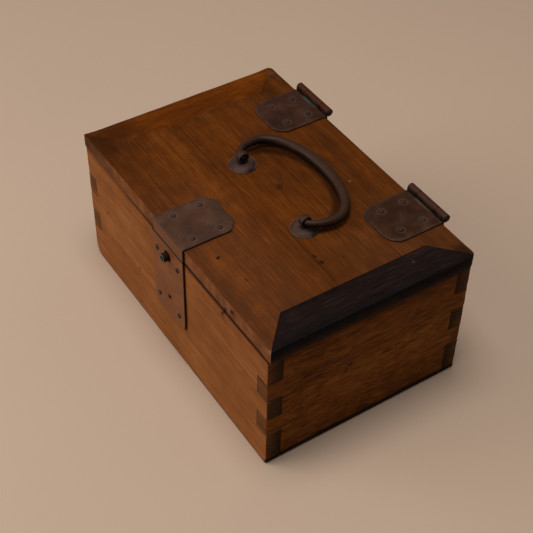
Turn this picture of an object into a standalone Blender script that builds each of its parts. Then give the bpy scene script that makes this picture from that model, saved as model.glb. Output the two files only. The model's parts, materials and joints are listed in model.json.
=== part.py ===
"""A seal box: finger-jointed walls, a mitre-capped lid on hinges, a bail handle and a push-button catch.

Metres, +Z up. The origin is under the middle of the bottom board.
The front faces -Y and the length runs along X.
"""

import math

import bmesh
import bpy
from mathutils import Matrix, Vector
from mathutils.geometry import interpolate_bezier

# Overall sizes, with the lid shut
BOX_LENGTH = 0.240
BOX_WIDTH = 0.158
BOX_HEIGHT = 0.113
CLEARANCE = 0.0003  # left between pieces that touch or fit

# Boards
WALL = 0.011
BOTTOM = 0.006
BOTTOM_REBATE = 0.004  # how far the bottom board is let into the walls
LID = 0.010
LID_OVERHANG = 0.0012  # of the lid past each end wall
CAP_WIDTH = 0.023
TONGUE_LENGTH = 0.008  # of the panel's tongue in the cap's groove
TONGUE_THICKNESS = 0.003
TONGUE_SHOULDER = 0.010  # from the mitre's inner corner to the tongue
FOOT_FINGER = 0.0295  # height of the front and back walls' lowest finger
END_PIN = 0.016  # height of each of the end walls' two fingers
MIDDLE_FINGER = 0.018  # height of the front and back walls' middle finger
EDGE_ROUND = 0.001

# Sheet metal and nails
SHEET = 0.0012
BEND_RADIUS = 0.0009
NAIL_HEAD_RADIUS = 0.0017
NAIL_HEAD_HEIGHT = 0.0010
NAIL_RADIUS = 0.0008
NAIL_LENGTH = 0.0075  # from under the head to the point
NAIL_POINT = 0.0020

# Hinges
HINGE_INSETS = {"left": 0.0540, "right": 0.0515}  # from the box's end to the middle of the hinge
HINGE_WIDTH = 0.039
LEAF_DEPTH = 0.041
LEAF_CORNER = 0.011
LEAF_SETBACK = 0.0005  # of the lid leaf's back edge from the lid's
MIDDLE_KNUCKLE = 0.019
KNUCKLE_RADIUS = 0.0029
KNUCKLE_LAP = 0.0003  # how far the barrel passes through its leaf's wood side
PIN_RADIUS = 0.0013
PIN_PLAY = 0.0002
PIN_HEAD_RADIUS = 0.0022
PIN_HEAD = 0.0008
LEAF_NAILS_APART = 0.021
LEAF_NAIL_ROWS = (0.0095, 0.0278)  # from the leaf's fold

# Handle
HANDLE_X = 0.005
HANDLE_Y = -0.001
POSTS_APART = 0.0765
BAIL_FLARE = 0.0105  # from the post out to the bail's widest place
BAIL_REACH = 0.0435  # from the pivot to the middle of the bow
BAIL_SHOULDER = 0.0174  # from the pivot to the widest place
BOW_FULLNESS = 0.52  # Bezier handles of the bow and the shoulder, as shares of the width and the rise
SHOULDER_FULLNESS = 0.60
BAIL_LEAN = -0.0017  # of the bow, to one side of the posts
BAIL_RADIUS = 0.0037
BAIL_SHOULDER_RADIUS = 0.0032
BAIL_END_RADIUS = 0.0022
BAIL_END = 0.0020  # of the turned-in end past the eye's middle
EYE_PLAY = 0.0006
EYE_STRAP = 0.0013  # thickness of the split pin's strap
EYE_WIDTH = 0.0044
EYE_CLINCH = 0.0070
EYE_BEND = 0.0016
ROSE_RADIUS = 0.0100
ROSE_EDGE = 0.0009
ROSE_HEIGHT = 0.0022
ROSE_CROWN = 0.0048  # radius of the rose's flat top

# Catch
LID_PLATE_X = 0.0015
LID_PLATE_WIDTH = 0.0385
LID_PLATE_DEPTH = 0.042
LID_PLATE_CORNER = 0.0065
LID_PLATE_NAILS_APART = 0.0256
LID_PLATE_NAIL_ROWS = (0.010, 0.0306)  # from the lid's front edge
LOCK_X = 0.0
LOCK_PLATE_WIDTH = 0.041
LOCK_PLATE_HEIGHT = 0.066
LOCK_PLATE_CORNER = 0.005
LOCK_NAILS_APART = 0.0268
LOCK_NAILS_X = -0.0008  # of the middle between them, from the button's
LOCK_NAIL_TOP = 0.0125  # from the plate's top edge to the upper nails
LOCK_NAIL_FOOT = 0.0100  # from the plate's bottom edge to the lower nails
BUTTON_DROP = 0.0095  # from the plate's top edge to the button
BUTTON_RADIUS = 0.0032
BUTTON_PROUD = 0.0045
BUTTON_DOME = 0.0006
BUTTON_HOLE_PLAY = 0.0010
BUTTON_FLANGE_LIP = 0.0007  # of the flange past the hole
BUTTON_FLANGE = 0.0010
BUTTON_TRAVEL = 0.0020
SPRING_LENGTH = 0.0385  # from the rivet up to the button
SPRING_WIDTH = 0.007
SPRING = 0.0005
SPRING_TAIL = 0.004  # past the rivet
SPRING_PAD = 0.002  # half the flat that the button rests on
NOSE = 0.0012
RIVET_HEAD_RADIUS = 0.0014
RIVET_HEAD = 0.0007
RIVET_RADIUS = 0.0008
STRIKE = 0.0012
STRIKE_WIDTH = 0.008
STRIKE_LIP = 0.0011
STRIKE_RUN = 0.0010  # room in front of the strike, which swings forward as the lid lifts
STRIKE_TAIL = 0.013  # of its foot past the wall's inner face
STRIKE_NAIL_ROWS = (0.004, 0.009)  # from the wall's inner face
MORTISE_SIDE = 0.0015  # beside the button's flange

# Places that follow from the sizes
LID_LOW = BOX_HEIGHT - LID
WALL_TOP = LID_LOW - CLEARANCE
FRONT = -BOX_WIDTH / 2
BACK = BOX_WIDTH / 2
SHEET_TOP = BOX_HEIGHT + CLEARANCE + SHEET
AXIS_OFFSET = CLEARANCE + KNUCKLE_RADIUS - KNUCKLE_LAP
HINGE_AXIS = Vector((0, BACK + AXIS_OFFSET, BOX_HEIGHT + AXIS_OFFSET))
EYE_RADIUS = BAIL_END_RADIUS + EYE_PLAY + EYE_STRAP / 2
EYE_HEIGHT = ROSE_HEIGHT + 2 * CLEARANCE + EYE_RADIUS + EYE_STRAP / 2
HANDLE_AXIS = Vector((HANDLE_X, HANDLE_Y, BOX_HEIGHT + EYE_HEIGHT))
LOCK_TOP = WALL_TOP - CLEARANCE
PLATE_BACK = FRONT - CLEARANCE
BUTTON_Z = LOCK_TOP - BUTTON_DROP
BUTTON_AXIS = Vector((LOCK_X, PLATE_BACK, BUTTON_Z))
RIVET_Z = BUTTON_Z - SPRING_LENGTH
HOLE_RADIUS = BUTTON_RADIUS + BUTTON_HOLE_PLAY
FLANGE_RADIUS = HOLE_RADIUS + BUTTON_FLANGE_LIP
LIP_LOW = BUTTON_Z + FLANGE_RADIUS + CLEARANCE
NOSE_LOW = LIP_LOW + STRIKE + CLEARANCE
STRIKE_FRONT = PLATE_BACK + STRIKE_RUN
SPRING_TOP_Y = STRIKE_FRONT + STRIKE + STRIKE_LIP + CLEARANCE
PRESSED = BUTTON_TRAVEL * (NOSE_LOW + NOSE - RIVET_Z) / SPRING_LENGTH
MORTISE_BACK = SPRING_TOP_Y + SPRING + PRESSED + CLEARANCE

# Turns: where a flat outline's or a turned piece's own +Z goes
UP = Matrix.Identity(4)
DOWN = Matrix.Rotation(math.pi, 4, "X")
FORWARD = Matrix.Rotation(math.pi / 2, 4, "X")
BACKWARD = Matrix.Rotation(-math.pi / 2, 4, "X")
ALONG_X = Matrix.Rotation(math.pi / 2, 4, "Y")
SIDEWAYS = Matrix(((0, 0, 1, 0), (1, 0, 0, 0), (0, 1, 0, 0), (0, 0, 0, 1)))

ROUND_STEPS = 16
SMALL_STEPS = 8
ARC_STEPS = 5
QUARTER_CIRCLE = 0.55  # a Bezier handle's length as a share of the radius
OVERCUT = 0.002  # of a cutter past the face it starts from
MERGE = 1e-6


def clear_scene():
    for obj in list(bpy.data.objects):
        bpy.data.objects.remove(obj, do_unlink=True)


def new_collection(name):
    collection = bpy.data.collections.new(name)
    bpy.context.scene.collection.children.link(collection)
    return collection


def new_material(name, color, roughness, metallic):
    material = bpy.data.materials.new(name)
    material.use_nodes = True
    shader = material.node_tree.nodes["Principled BSDF"]
    shader.inputs["Base Color"].default_value = (*color, 1)
    shader.inputs["Roughness"].default_value = roughness
    shader.inputs["Metallic"].default_value = metallic
    return material


clear_scene()
PARTS = new_collection("seal_box")
CUTTERS = new_collection("cutters")
CUTTERS.hide_render = True

FRONT_WOOD = new_material("front_wood", (0.195, 0.063, 0.020), 0.55, 0)
END_WOOD = new_material("end_wood", (0.046, 0.013, 0.003), 0.55, 0)
LID_WOOD = new_material("lid_wood", (0.100, 0.030, 0.007), 0.45, 0)
DARK_WOOD = new_material("dark_wood", (0.016, 0.009, 0.0075), 0.5, 0)
LOCK_COPPER = new_material("lock_copper", (0.150, 0.051, 0.020), 0.5, 0.6)
PLATE_COPPER = new_material("plate_copper", (0.068, 0.033, 0.022), 0.45, 0.7)
HINGE_COPPER = new_material("hinge_copper", (0.040, 0.017, 0.010), 0.45, 0.7)
IRON = new_material("iron", (0.044, 0.026, 0.018), 0.45, 0.8)
STEEL = new_material("spring_steel", (0.12, 0.11, 0.10), 0.4, 1)


def new_axis(name, place):
    axis = bpy.data.objects.new(name, None)
    axis.location = place
    axis.empty_display_size = 0.02
    PARTS.objects.link(axis)
    return axis


LID_BODY = new_axis("lid_axis", HINGE_AXIS)


def add(obj, material, axis=None):
    """Puts a piece in the model, on an axis empty where it moves with one."""
    PARTS.objects.link(obj)
    obj.data.materials.append(material)
    if axis:
        obj.parent = axis
        obj.matrix_parent_inverse = Matrix.Translation(-axis.location)
    return obj


def add_cutter(obj):
    CUTTERS.objects.link(obj)
    obj.hide_render = True
    obj.display_type = "WIRE"
    return obj


def combine(obj, other, operation):
    modifier = obj.modifiers.new(f"{operation.lower()} {other.name}", "BOOLEAN")
    modifier.operation = operation
    modifier.object = other
    modifier.solver = "EXACT"


def cut(obj, *cutters):
    for cutter in cutters:
        combine(obj, cutter, "DIFFERENCE")


def join(obj, *others):
    for other in others:
        combine(obj, add_cutter(other), "UNION")


def round_edges(obj, width, picked):
    """Bevels the edges whose two ends both satisfy picked."""
    weights = obj.data.attributes.new("bevel_weight_edge", "FLOAT", "EDGE")
    for edge in obj.data.edges:
        ends = [obj.data.vertices[i].co for i in edge.vertices]
        weights.data[edge.index].value = float(all(map(picked, ends)))
    bevel = obj.modifiers.new("round", "BEVEL")
    bevel.limit_method = "WEIGHT"
    bevel.width = width
    bevel.segments = 2


def mesh_object(name, shape, place):
    mesh = bpy.data.meshes.new(name)
    shape.to_mesh(mesh)
    shape.free()
    obj = bpy.data.objects.new(name, mesh)
    obj.matrix_world = place
    return obj


def block(name, low, high, turn=UP):
    """A box between two corners, turned about its own middle."""
    low = Vector(low)
    high = Vector(high)
    shape = bmesh.new()
    bmesh.ops.create_cube(shape, size=1)
    bmesh.ops.scale(shape, vec=high - low, verts=shape.verts)
    return mesh_object(name, shape, Matrix.Translation((low + high) / 2) @ turn)


def blocks(name, boxes):
    """Several boxes in one object, each given by two corners."""
    shape = bmesh.new()
    for low, high in boxes:
        low = Vector(low)
        high = Vector(high)
        size = Matrix.Diagonal((*(high - low), 1))
        bmesh.ops.create_cube(shape, size=1, matrix=Matrix.Translation((low + high) / 2) @ size)
    return mesh_object(name, shape, UP)


def rod(name, radius, length, place, turn=UP, steps=ROUND_STEPS):
    """A cylinder centred on place, along its turned Z."""
    shape = bmesh.new()
    bmesh.ops.create_cone(
        shape, cap_ends=True, segments=steps, radius1=radius, radius2=radius, depth=length
    )
    return mesh_object(name, shape, Matrix.Translation(place) @ turn)


def slab(name, outline, thickness, place, turn=UP):
    """A flat outline given a thickness, half of it on each side of place."""
    curve = bpy.data.curves.new(name, "CURVE")
    curve.dimensions = "2D"
    curve.fill_mode = "BOTH"
    curve.extrude = thickness / 2
    spline = curve.splines.new("POLY")
    spline.points.add(len(outline) - 1)
    spline.use_cyclic_u = True
    for point, (x, y) in zip(spline.points, outline):
        point.co = (x, y, 0, 1)
    guide = bpy.data.objects.new(name, curve)
    bpy.context.scene.collection.objects.link(guide)
    graph = bpy.context.evaluated_depsgraph_get()
    mesh = bpy.data.meshes.new_from_object(guide.evaluated_get(graph))
    bpy.data.objects.remove(guide)
    shape = bmesh.new()
    shape.from_mesh(mesh)
    bmesh.ops.remove_doubles(shape, verts=shape.verts, dist=MERGE)
    bmesh.ops.dissolve_limit(shape, angle_limit=math.radians(1), verts=shape.verts, edges=shape.edges)
    bmesh.ops.recalc_face_normals(shape, faces=shape.faces)
    return mesh_object(name, shape, Matrix.Translation(place) @ turn)


def turned(name, profile, place, turn=UP, steps=ROUND_STEPS):
    """A profile of (radius, height) points, listed downwards on its outer side, turned about Z.

    A profile that doesn't start on the axis is closed into a ring.
    """
    mesh = bpy.data.meshes.new(name)
    points = [(radius, 0, height) for radius, height in profile]
    edges = [(i, i + 1) for i in range(len(points) - 1)]
    if profile[0][0] > 0:
        edges.append((len(points) - 1, 0))
    mesh.from_pydata(points, edges, [])
    obj = bpy.data.objects.new(name, mesh)
    obj.matrix_world = Matrix.Translation(place) @ turn
    screw = obj.modifiers.new("turn", "SCREW")
    screw.steps = steps
    screw.render_steps = steps
    screw.use_merge_vertices = True
    screw.merge_threshold = MERGE
    screw.use_smooth_shade = True
    return obj


def bent_rod(name, knots, radius, place, turn=UP):
    """A rod along a Bezier curve. Each knot is its place, its two handles and its share of the radius."""
    curve = bpy.data.curves.new(name, "CURVE")
    curve.dimensions = "3D"
    curve.bevel_depth = radius
    curve.bevel_resolution = 3
    curve.resolution_u = 6
    curve.use_fill_caps = True
    spline = curve.splines.new("BEZIER")
    spline.bezier_points.add(len(knots) - 1)
    for point, (place_on_curve, before, after, share) in zip(spline.bezier_points, knots):
        point.handle_left_type = "FREE"
        point.handle_right_type = "FREE"
        point.co = place_on_curve
        point.handle_left = before
        point.handle_right = after
        point.radius = share
    obj = bpy.data.objects.new(name, curve)
    obj.matrix_world = Matrix.Translation(place) @ turn
    return obj


def rounded(corners):
    """An outline through corners given as (x, y, radius), each rounded by an arc."""
    outline = []
    for i, (x, y, radius) in enumerate(corners):
        corner = Vector((x, y))
        before = (Vector(corners[i - 1][:2]) - corner).normalized()
        after = (Vector(corners[(i + 1) % len(corners)][:2]) - corner).normalized()
        if radius == 0:
            outline.append(tuple(corner))
            continue
        half = before.angle(after) / 2
        centre = corner + (before + after).normalized() * radius / math.sin(half)
        start = corner + before * radius / math.tan(half) - centre
        sweep = math.pi - 2 * half
        if before.cross(after) > 0:
            sweep = -sweep
        for step in range(ARC_STEPS + 1):
            spoke = start.copy()
            spoke.rotate(Matrix.Rotation(sweep * step / ARC_STEPS, 2))
            outline.append(tuple(centre + spoke))
    return outline


def strap(knots, thickness):
    """The outline of an even strap along a Bezier path. Each knot is its place and its two handles."""
    path = [Vector(knots[0][0])]
    for (start, _, leaving), (end, arriving, _) in zip(knots, knots[1:]):
        path += interpolate_bezier(start, leaving, arriving, end, ARC_STEPS + 1)[1:]
    path = [Vector(point[:2]) for point in path]
    one_side = []
    other_side = []
    for before, point, after in zip(path[:1] + path, path, path[1:] + path[-1:]):
        aside = (after - before).orthogonal().normalized() * thickness / 2
        one_side.append(tuple(point + aside))
        other_side.append(tuple(point - aside))
    return one_side + other_side[::-1]


def dome(radius, height, steps=3):
    """The upper quarter of an ellipse, from the axis out and down to its rim."""
    angles = [math.pi / 2 * step / steps for step in range(steps + 1)]
    return [(radius * math.sin(a), height * math.cos(a)) for a in angles]


def nail_group(name, places, turn, axis=None):
    """Nails with their heads on a sheet at the given places. Returns the cutter of their holes."""
    profile = [(r, z + CLEARANCE) for r, z in dome(NAIL_HEAD_RADIUS, NAIL_HEAD_HEIGHT)]
    profile += [
        (NAIL_RADIUS, CLEARANCE),
        (NAIL_RADIUS, NAIL_POINT - NAIL_LENGTH),
        (0, -NAIL_LENGTH),
    ]
    holes = bmesh.new()
    depth = NAIL_LENGTH + CLEARANCE + OVERCUT
    for number, place in enumerate(places, 1):
        nail = turned(f"{name}_nail_{number}", profile, place, turn, SMALL_STEPS)
        add(nail, IRON, axis)
        middle = Matrix.Translation((0, 0, OVERCUT - depth / 2))
        bmesh.ops.create_cone(
            holes,
            cap_ends=True,
            segments=SMALL_STEPS,
            radius1=NAIL_RADIUS + CLEARANCE,
            radius2=NAIL_RADIUS + CLEARANCE,
            depth=depth,
            matrix=Matrix.Translation(place) @ turn @ middle,
        )
    return add_cutter(mesh_object(f"{name}_nail_holes", holes, UP))


def grid(xs, ys):
    return [(x, y) for y in ys for x in xs]


# Walls and bottom

def make_walls():
    half_x = BOX_LENGTH / 2
    front = block("front_wall", (-half_x, FRONT, 0), (half_x, FRONT + WALL, WALL_TOP))
    back = block("back_wall", (-half_x, BACK - WALL, 0), (half_x, BACK, WALL_TOP))
    left = block("left_wall", (-half_x, FRONT, 0), (WALL - half_x, BACK, WALL_TOP))
    right = block("right_wall", (half_x - WALL, FRONT, 0), (half_x, BACK, WALL_TOP))

    # Going up a corner, the front and back walls' fingers and the end walls' take turns.
    levels = [-OVERCUT, FOOT_FINGER]
    for height in (END_PIN, MIDDLE_FINGER, END_PIN):
        levels.append(levels[-1] + height)
    levels.append(WALL_TOP + OVERCUT)
    play = CLEARANCE / 2
    bands = [(low - play, high + play) for low, high in zip(levels, levels[1:])]
    depth = WALL + CLEARANCE
    pin_boxes = []
    finger_boxes = []
    for way in (-1, 1):
        x = sorted((way * (half_x - depth), way * (half_x + OVERCUT)))
        y = sorted((way * (BACK - depth), way * (BACK + OVERCUT)))
        for low, high in bands[1::2]:
            pin_boxes.append(((x[0], FRONT - OVERCUT, low), (x[1], BACK + OVERCUT, high)))
        for low, high in bands[0::2]:
            finger_boxes.append(((-half_x - OVERCUT, y[0], low), (half_x + OVERCUT, y[1], high)))
    room_for_pins = add_cutter(blocks("room_for_pins", pin_boxes))
    room_for_fingers = add_cutter(blocks("room_for_fingers", finger_boxes))
    cut(front, room_for_pins)
    cut(back, room_for_pins)
    cut(left, room_for_fingers)
    cut(right, room_for_fingers)

    # The bottom board lies in a rebate round the walls' feet.
    x = half_x - WALL + BOTTOM_REBATE
    y = BACK - WALL + BOTTOM_REBATE
    add(block("bottom_board", (-x, -y, 0), (x, y, BOTTOM)), DARK_WOOD)
    x += CLEARANCE
    y += CLEARANCE
    rebate = add_cutter(block("bottom_rebate", (-x, -y, -OVERCUT), (x, y, BOTTOM + CLEARANCE)))
    for wall in (front, back, left, right):
        cut(wall, rebate)
    add(left, END_WOOD)
    add(right, END_WOOD)
    return add(front, FRONT_WOOD), add(back, FRONT_WOOD)


# Lid

def make_lid():
    half_x = BOX_LENGTH / 2 + LID_OVERHANG
    half_y = BOX_WIDTH / 2
    inner_x = half_x - CAP_WIDTH
    inner_y = half_y - CAP_WIDTH
    middle = (0, 0, BOX_HEIGHT - LID / 2)
    right = [(half_x, -half_y), (inner_x, -inner_y), (inner_x, inner_y), (half_x, half_y)]
    panel = slab("lid_panel", right + [(-x, -y) for x, y in right], LID, middle)
    add(panel, LID_WOOD, LID_BODY)
    tongue_y = inner_y - TONGUE_SHOULDER
    tongue = block(
        "lid_tongue",
        (-inner_x - TONGUE_LENGTH, -tongue_y, middle[2] - TONGUE_THICKNESS / 2),
        (inner_x + TONGUE_LENGTH, tongue_y, middle[2] + TONGUE_THICKNESS / 2),
    )
    groove_room = Vector((1, 1, 1)) * CLEARANCE
    groove_half = Vector((inner_x + TONGUE_LENGTH, tongue_y, TONGUE_THICKNESS / 2)) + groove_room
    groove = add_cutter(block("groove", Vector(middle) - groove_half, Vector(middle) + groove_half))
    join(panel, tongue)
    mitre_gap = CLEARANCE * math.sqrt(2)
    outer_y = half_y - mitre_gap
    cap_x = inner_x + CLEARANCE
    cap_y = outer_y - (half_x - cap_x)
    trapezium = [(half_x, -outer_y), (half_x, outer_y), (cap_x, cap_y), (cap_x, -cap_y)]
    for side, name, wood in ((-1, "lid_left_cap", LID_WOOD), (1, "lid_right_cap", DARK_WOOD)):
        outline = [(side * x, side * y) for x, y in trapezium]
        cap = add(slab(name, outline, LID, middle), wood, LID_BODY)
        cut(cap, groove)
        round_edges(cap, EDGE_ROUND, lambda co: co.z > 0 and abs(abs(co.x) - half_x) < MERGE)
    return panel


# Hinges

def make_hinge(side, x, lid_panel, back_wall):
    half = HINGE_WIDTH / 2
    half_middle = MIDDLE_KNUCKLE / 2
    axis = HINGE_AXIS + Vector((x, 0, 0))
    bore = add_cutter(
        rod(f"{side}_hinge_bore", PIN_RADIUS + PIN_PLAY, HINGE_WIDTH + 2 * OVERCUT, axis, ALONG_X)
    )

    # The lid leaf lies on the lid, and its middle runs back under the barrel.
    fold = axis.y - (BACK - LEAF_SETBACK)
    lid_outline = rounded([
        (half, 0, 0),
        (half_middle, 0, 0),
        (half_middle, fold, 0),
        (-half_middle, fold, 0),
        (-half_middle, 0, 0),
        (-half, 0, 0),
        (-half, -LEAF_DEPTH, LEAF_CORNER),
        (half, -LEAF_DEPTH, LEAF_CORNER),
    ])
    level = BOX_HEIGHT + CLEARANCE + SHEET / 2
    lid_leaf = slab(
        f"{side}_lid_hinge_leaf", lid_outline, SHEET, (x, BACK - LEAF_SETBACK, level)
    )
    add(lid_leaf, HINGE_COPPER, LID_BODY)
    join(lid_leaf, rod(f"{side}_middle_knuckle", KNUCKLE_RADIUS, MIDDLE_KNUCKLE, axis, ALONG_X))

    # The back leaf hangs down the back wall, and its two sides run up in front of the barrel.
    notch = half_middle + CLEARANCE
    below = AXIS_OFFSET + KNUCKLE_LAP + CLEARANCE
    back_outline = rounded([
        (half, 0, 0),
        (notch, 0, 0),
        (notch, -below, 0),
        (-notch, -below, 0),
        (-notch, 0, 0),
        (-half, 0, 0),
        (-half, -AXIS_OFFSET - LEAF_DEPTH, LEAF_CORNER),
        (half, -AXIS_OFFSET - LEAF_DEPTH, LEAF_CORNER),
    ])
    back_leaf = slab(
        f"{side}_back_hinge_leaf",
        back_outline,
        SHEET,
        (x, BACK + CLEARANCE + SHEET / 2, axis.z),
        FORWARD,
    )
    add(back_leaf, HINGE_COPPER)
    outer = half - notch
    for end, way in (("left", -1), ("right", 1)):
        place = axis + Vector((way * (notch + outer / 2), 0, 0))
        join(back_leaf, rod(f"{side}_hinge_{end}_knuckle", KNUCKLE_RADIUS, outer, place, ALONG_X))

    cut(lid_leaf, bore)
    cut(back_leaf, bore)
    pin_half = half + CLEARANCE
    head = [(r, z + pin_half) for r, z in dome(PIN_HEAD_RADIUS, PIN_HEAD)]
    upper = head + [(PIN_RADIUS, pin_half)]
    pin_profile = upper + [(r, -z) for r, z in reversed(upper)]
    add(turned(f"{side}_hinge_pin", pin_profile, axis, ALONG_X), IRON)

    columns = (x - LEAF_NAILS_APART / 2, x + LEAF_NAILS_APART / 2)
    lid_rows = [BACK - LEAF_SETBACK - row for row in LEAF_NAIL_ROWS]
    places = [(u, v, SHEET_TOP) for u, v in grid(columns, lid_rows)]
    holes = nail_group(f"{side}_lid_leaf", places, UP, LID_BODY)
    cut(lid_leaf, holes)
    cut(lid_panel, holes)
    back_rows = [WALL_TOP - row for row in LEAF_NAIL_ROWS]
    places = [(u, BACK + CLEARANCE + SHEET, v) for u, v in grid(columns, back_rows)]
    holes = nail_group(f"{side}_back_leaf", places, BACKWARD)
    cut(back_leaf, holes)
    cut(back_wall, holes)


# Handle

def make_eye(side, x, lid_panel):
    """A split pin of strap: its loop stands over the rose and its two legs are clinched under the lid."""
    leg = (EYE_STRAP + CLEARANCE) / 2
    neck = ROSE_HEIGHT + CLEARANCE
    top = EYE_HEIGHT + EYE_RADIUS
    under = -LID - CLEARANCE - EYE_STRAP / 2
    round_by = EYE_RADIUS * QUARTER_CIRCLE
    bend_by = EYE_BEND * QUARTER_CIRCLE

    def half(way):
        """The knots from the clinched end up to the loop's side, as (y, z) with both handles."""
        foot = (way * (leg + EYE_BEND + EYE_CLINCH), under)
        heel = (way * (leg + EYE_BEND), under)
        ankle = (way * leg, under + EYE_BEND)
        throat = (way * leg, neck)
        loop = (way * EYE_RADIUS, EYE_HEIGHT)
        return [
            (foot, foot, heel),
            (heel, foot, (heel[0] - way * bend_by, under)),
            (ankle, (ankle[0], ankle[1] - bend_by), throat),
            (throat, ankle, (throat[0], throat[1] + round_by / 2)),
            (loop, (loop[0], loop[1] - round_by), (loop[0], loop[1] + round_by)),
        ]

    crown = [((0, top), (-round_by, top), (round_by, top))]
    second = [(co, after, before) for co, before, after in reversed(half(1))]
    base = (x, HANDLE_Y, BOX_HEIGHT)
    outline = strap(half(-1) + crown + second, EYE_STRAP)
    add(slab(f"{side}_handle_eye", outline, EYE_WIDTH, base, SIDEWAYS), IRON, LID_BODY)

    hole_radius = math.hypot(leg + EYE_STRAP / 2, EYE_WIDTH / 2) + CLEARANCE
    profile = [
        (hole_radius, ROSE_HEIGHT),
        (ROSE_CROWN, ROSE_HEIGHT),
        (ROSE_RADIUS, ROSE_EDGE + CLEARANCE),
        (ROSE_RADIUS, CLEARANCE),
        (hole_radius, CLEARANCE),
    ]
    add(turned(f"{side}_handle_rose", profile, base), IRON, LID_BODY)
    hole = rod(f"{side}_eye_hole", hole_radius, 2 * (LID + OVERCUT), base)
    cut(lid_panel, add_cutter(hole))


def make_handle(lid_panel):
    for side, way in (("left", -1), ("right", 1)):
        make_eye(side, HANDLE_X + way * POSTS_APART / 2, lid_panel)
    post = POSTS_APART / 2
    end = BAIL_END_RADIUS / BAIL_RADIUS
    shoulder = BAIL_SHOULDER_RADIUS / BAIL_RADIUS
    bow_handle = (post + BAIL_FLARE) * BOW_FULLNESS
    rise = BAIL_REACH - BAIL_SHOULDER

    def half(way):
        """The knots from the turned-in end to the widest place."""
        tip = way * (post - BAIL_END)
        bend = way * (post + EYE_WIDTH / 2)
        wide = way * (post + BAIL_FLARE) + BAIL_LEAN
        return [
            ((tip, 0), (tip, 0), (bend, 0), end),
            ((bend, 0), (tip, 0), ((bend + wide) / 2, 0), end),
            (
                (wide, BAIL_SHOULDER),
                (wide, BAIL_SHOULDER / 2),
                (wide, BAIL_SHOULDER + rise * SHOULDER_FULLNESS),
                shoulder,
            ),
        ]

    bow = [(
        (BAIL_LEAN, BAIL_REACH),
        (BAIL_LEAN - bow_handle, BAIL_REACH),
        (BAIL_LEAN + bow_handle, BAIL_REACH),
        1,
    )]
    second = [(co, after, before, share) for co, before, after, share in reversed(half(1))]
    knots = [
        (*(Vector((*point, 0)) for point in knot[:3]), knot[3]) for knot in half(-1) + bow + second
    ]
    # It lies back until the bow rests on the lid.
    tilt = math.asin((EYE_HEIGHT - CLEARANCE - BAIL_RADIUS) / BAIL_REACH)
    turn = Matrix.Rotation(-tilt, 4, "X")
    add(bent_rod("handle", knots, BAIL_RADIUS, HANDLE_AXIS, turn), IRON, LID_BODY)


# Catch

def make_lid_plate(lid_panel):
    face = PLATE_BACK - SHEET
    rear = FRONT + LID_PLATE_DEPTH
    outline = rounded([
        (face, LID_LOW + CLEARANCE, 0),
        (PLATE_BACK, LID_LOW + CLEARANCE, 0),
        (PLATE_BACK, BOX_HEIGHT + CLEARANCE, 0),
        (rear, BOX_HEIGHT + CLEARANCE, 0),
        (rear, SHEET_TOP, 0),
        (face, SHEET_TOP, BEND_RADIUS),
    ])
    plate = slab("lid_plate", outline, LID_PLATE_WIDTH, (LID_PLATE_X, 0, 0), SIDEWAYS)
    add(plate, PLATE_COPPER, LID_BODY)
    clip_half = LID_PLATE_CORNER / math.sqrt(2)
    reach = Vector((clip_half, clip_half, OVERCUT))
    slant = Matrix.Rotation(math.pi / 4, 4, "Z")
    for side, way in (("left", -1), ("right", 1)):
        corner = Vector((LID_PLATE_X + way * LID_PLATE_WIDTH / 2, rear, BOX_HEIGHT + SHEET / 2))
        clip = block(f"lid_plate_{side}_clip", corner - reach, corner + reach, slant)
        cut(plate, add_cutter(clip))
    columns = [LID_PLATE_X + way * LID_PLATE_NAILS_APART / 2 for way in (-1, 1)]
    rows = [FRONT + row for row in LID_PLATE_NAIL_ROWS]
    places = [(u, v, SHEET_TOP) for u, v in grid(columns, rows)]
    holes = nail_group("lid_plate", places, UP, LID_BODY)
    cut(plate, holes)
    cut(lid_panel, holes)


def make_strike(lid_panel):
    """A hooked tongue under the lid. Its foot is let into the lid and nailed from below."""
    inner = FRONT + WALL
    rear = inner + STRIKE_TAIL
    tongue_back = STRIKE_FRONT + STRIKE
    foot_low = LID_LOW + CLEARANCE
    foot_top = foot_low + STRIKE
    outline = [
        (STRIKE_FRONT, LIP_LOW),
        (tongue_back + STRIKE_LIP, LIP_LOW),
        (tongue_back + STRIKE_LIP, LIP_LOW + STRIKE),
        (tongue_back, LIP_LOW + STRIKE),
        (tongue_back, foot_low),
        (rear, foot_low),
        (rear, foot_top),
        (STRIKE_FRONT, foot_top),
    ]
    strike = slab("lid_strike", outline, STRIKE_WIDTH, (LOCK_X, 0, 0), SIDEWAYS)
    add(strike, STEEL, LID_BODY)
    half = STRIKE_WIDTH / 2 + CLEARANCE
    pocket = block(
        "strike_pocket",
        (LOCK_X - half, STRIKE_FRONT - CLEARANCE, LID_LOW - OVERCUT),
        (LOCK_X + half, rear + CLEARANCE, foot_top + CLEARANCE),
    )
    places = [(LOCK_X, inner + row, foot_low) for row in STRIKE_NAIL_ROWS]
    holes = nail_group("strike", places, DOWN, LID_BODY)
    cut(strike, holes)
    cut(lid_panel, add_cutter(pocket), holes)


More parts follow.
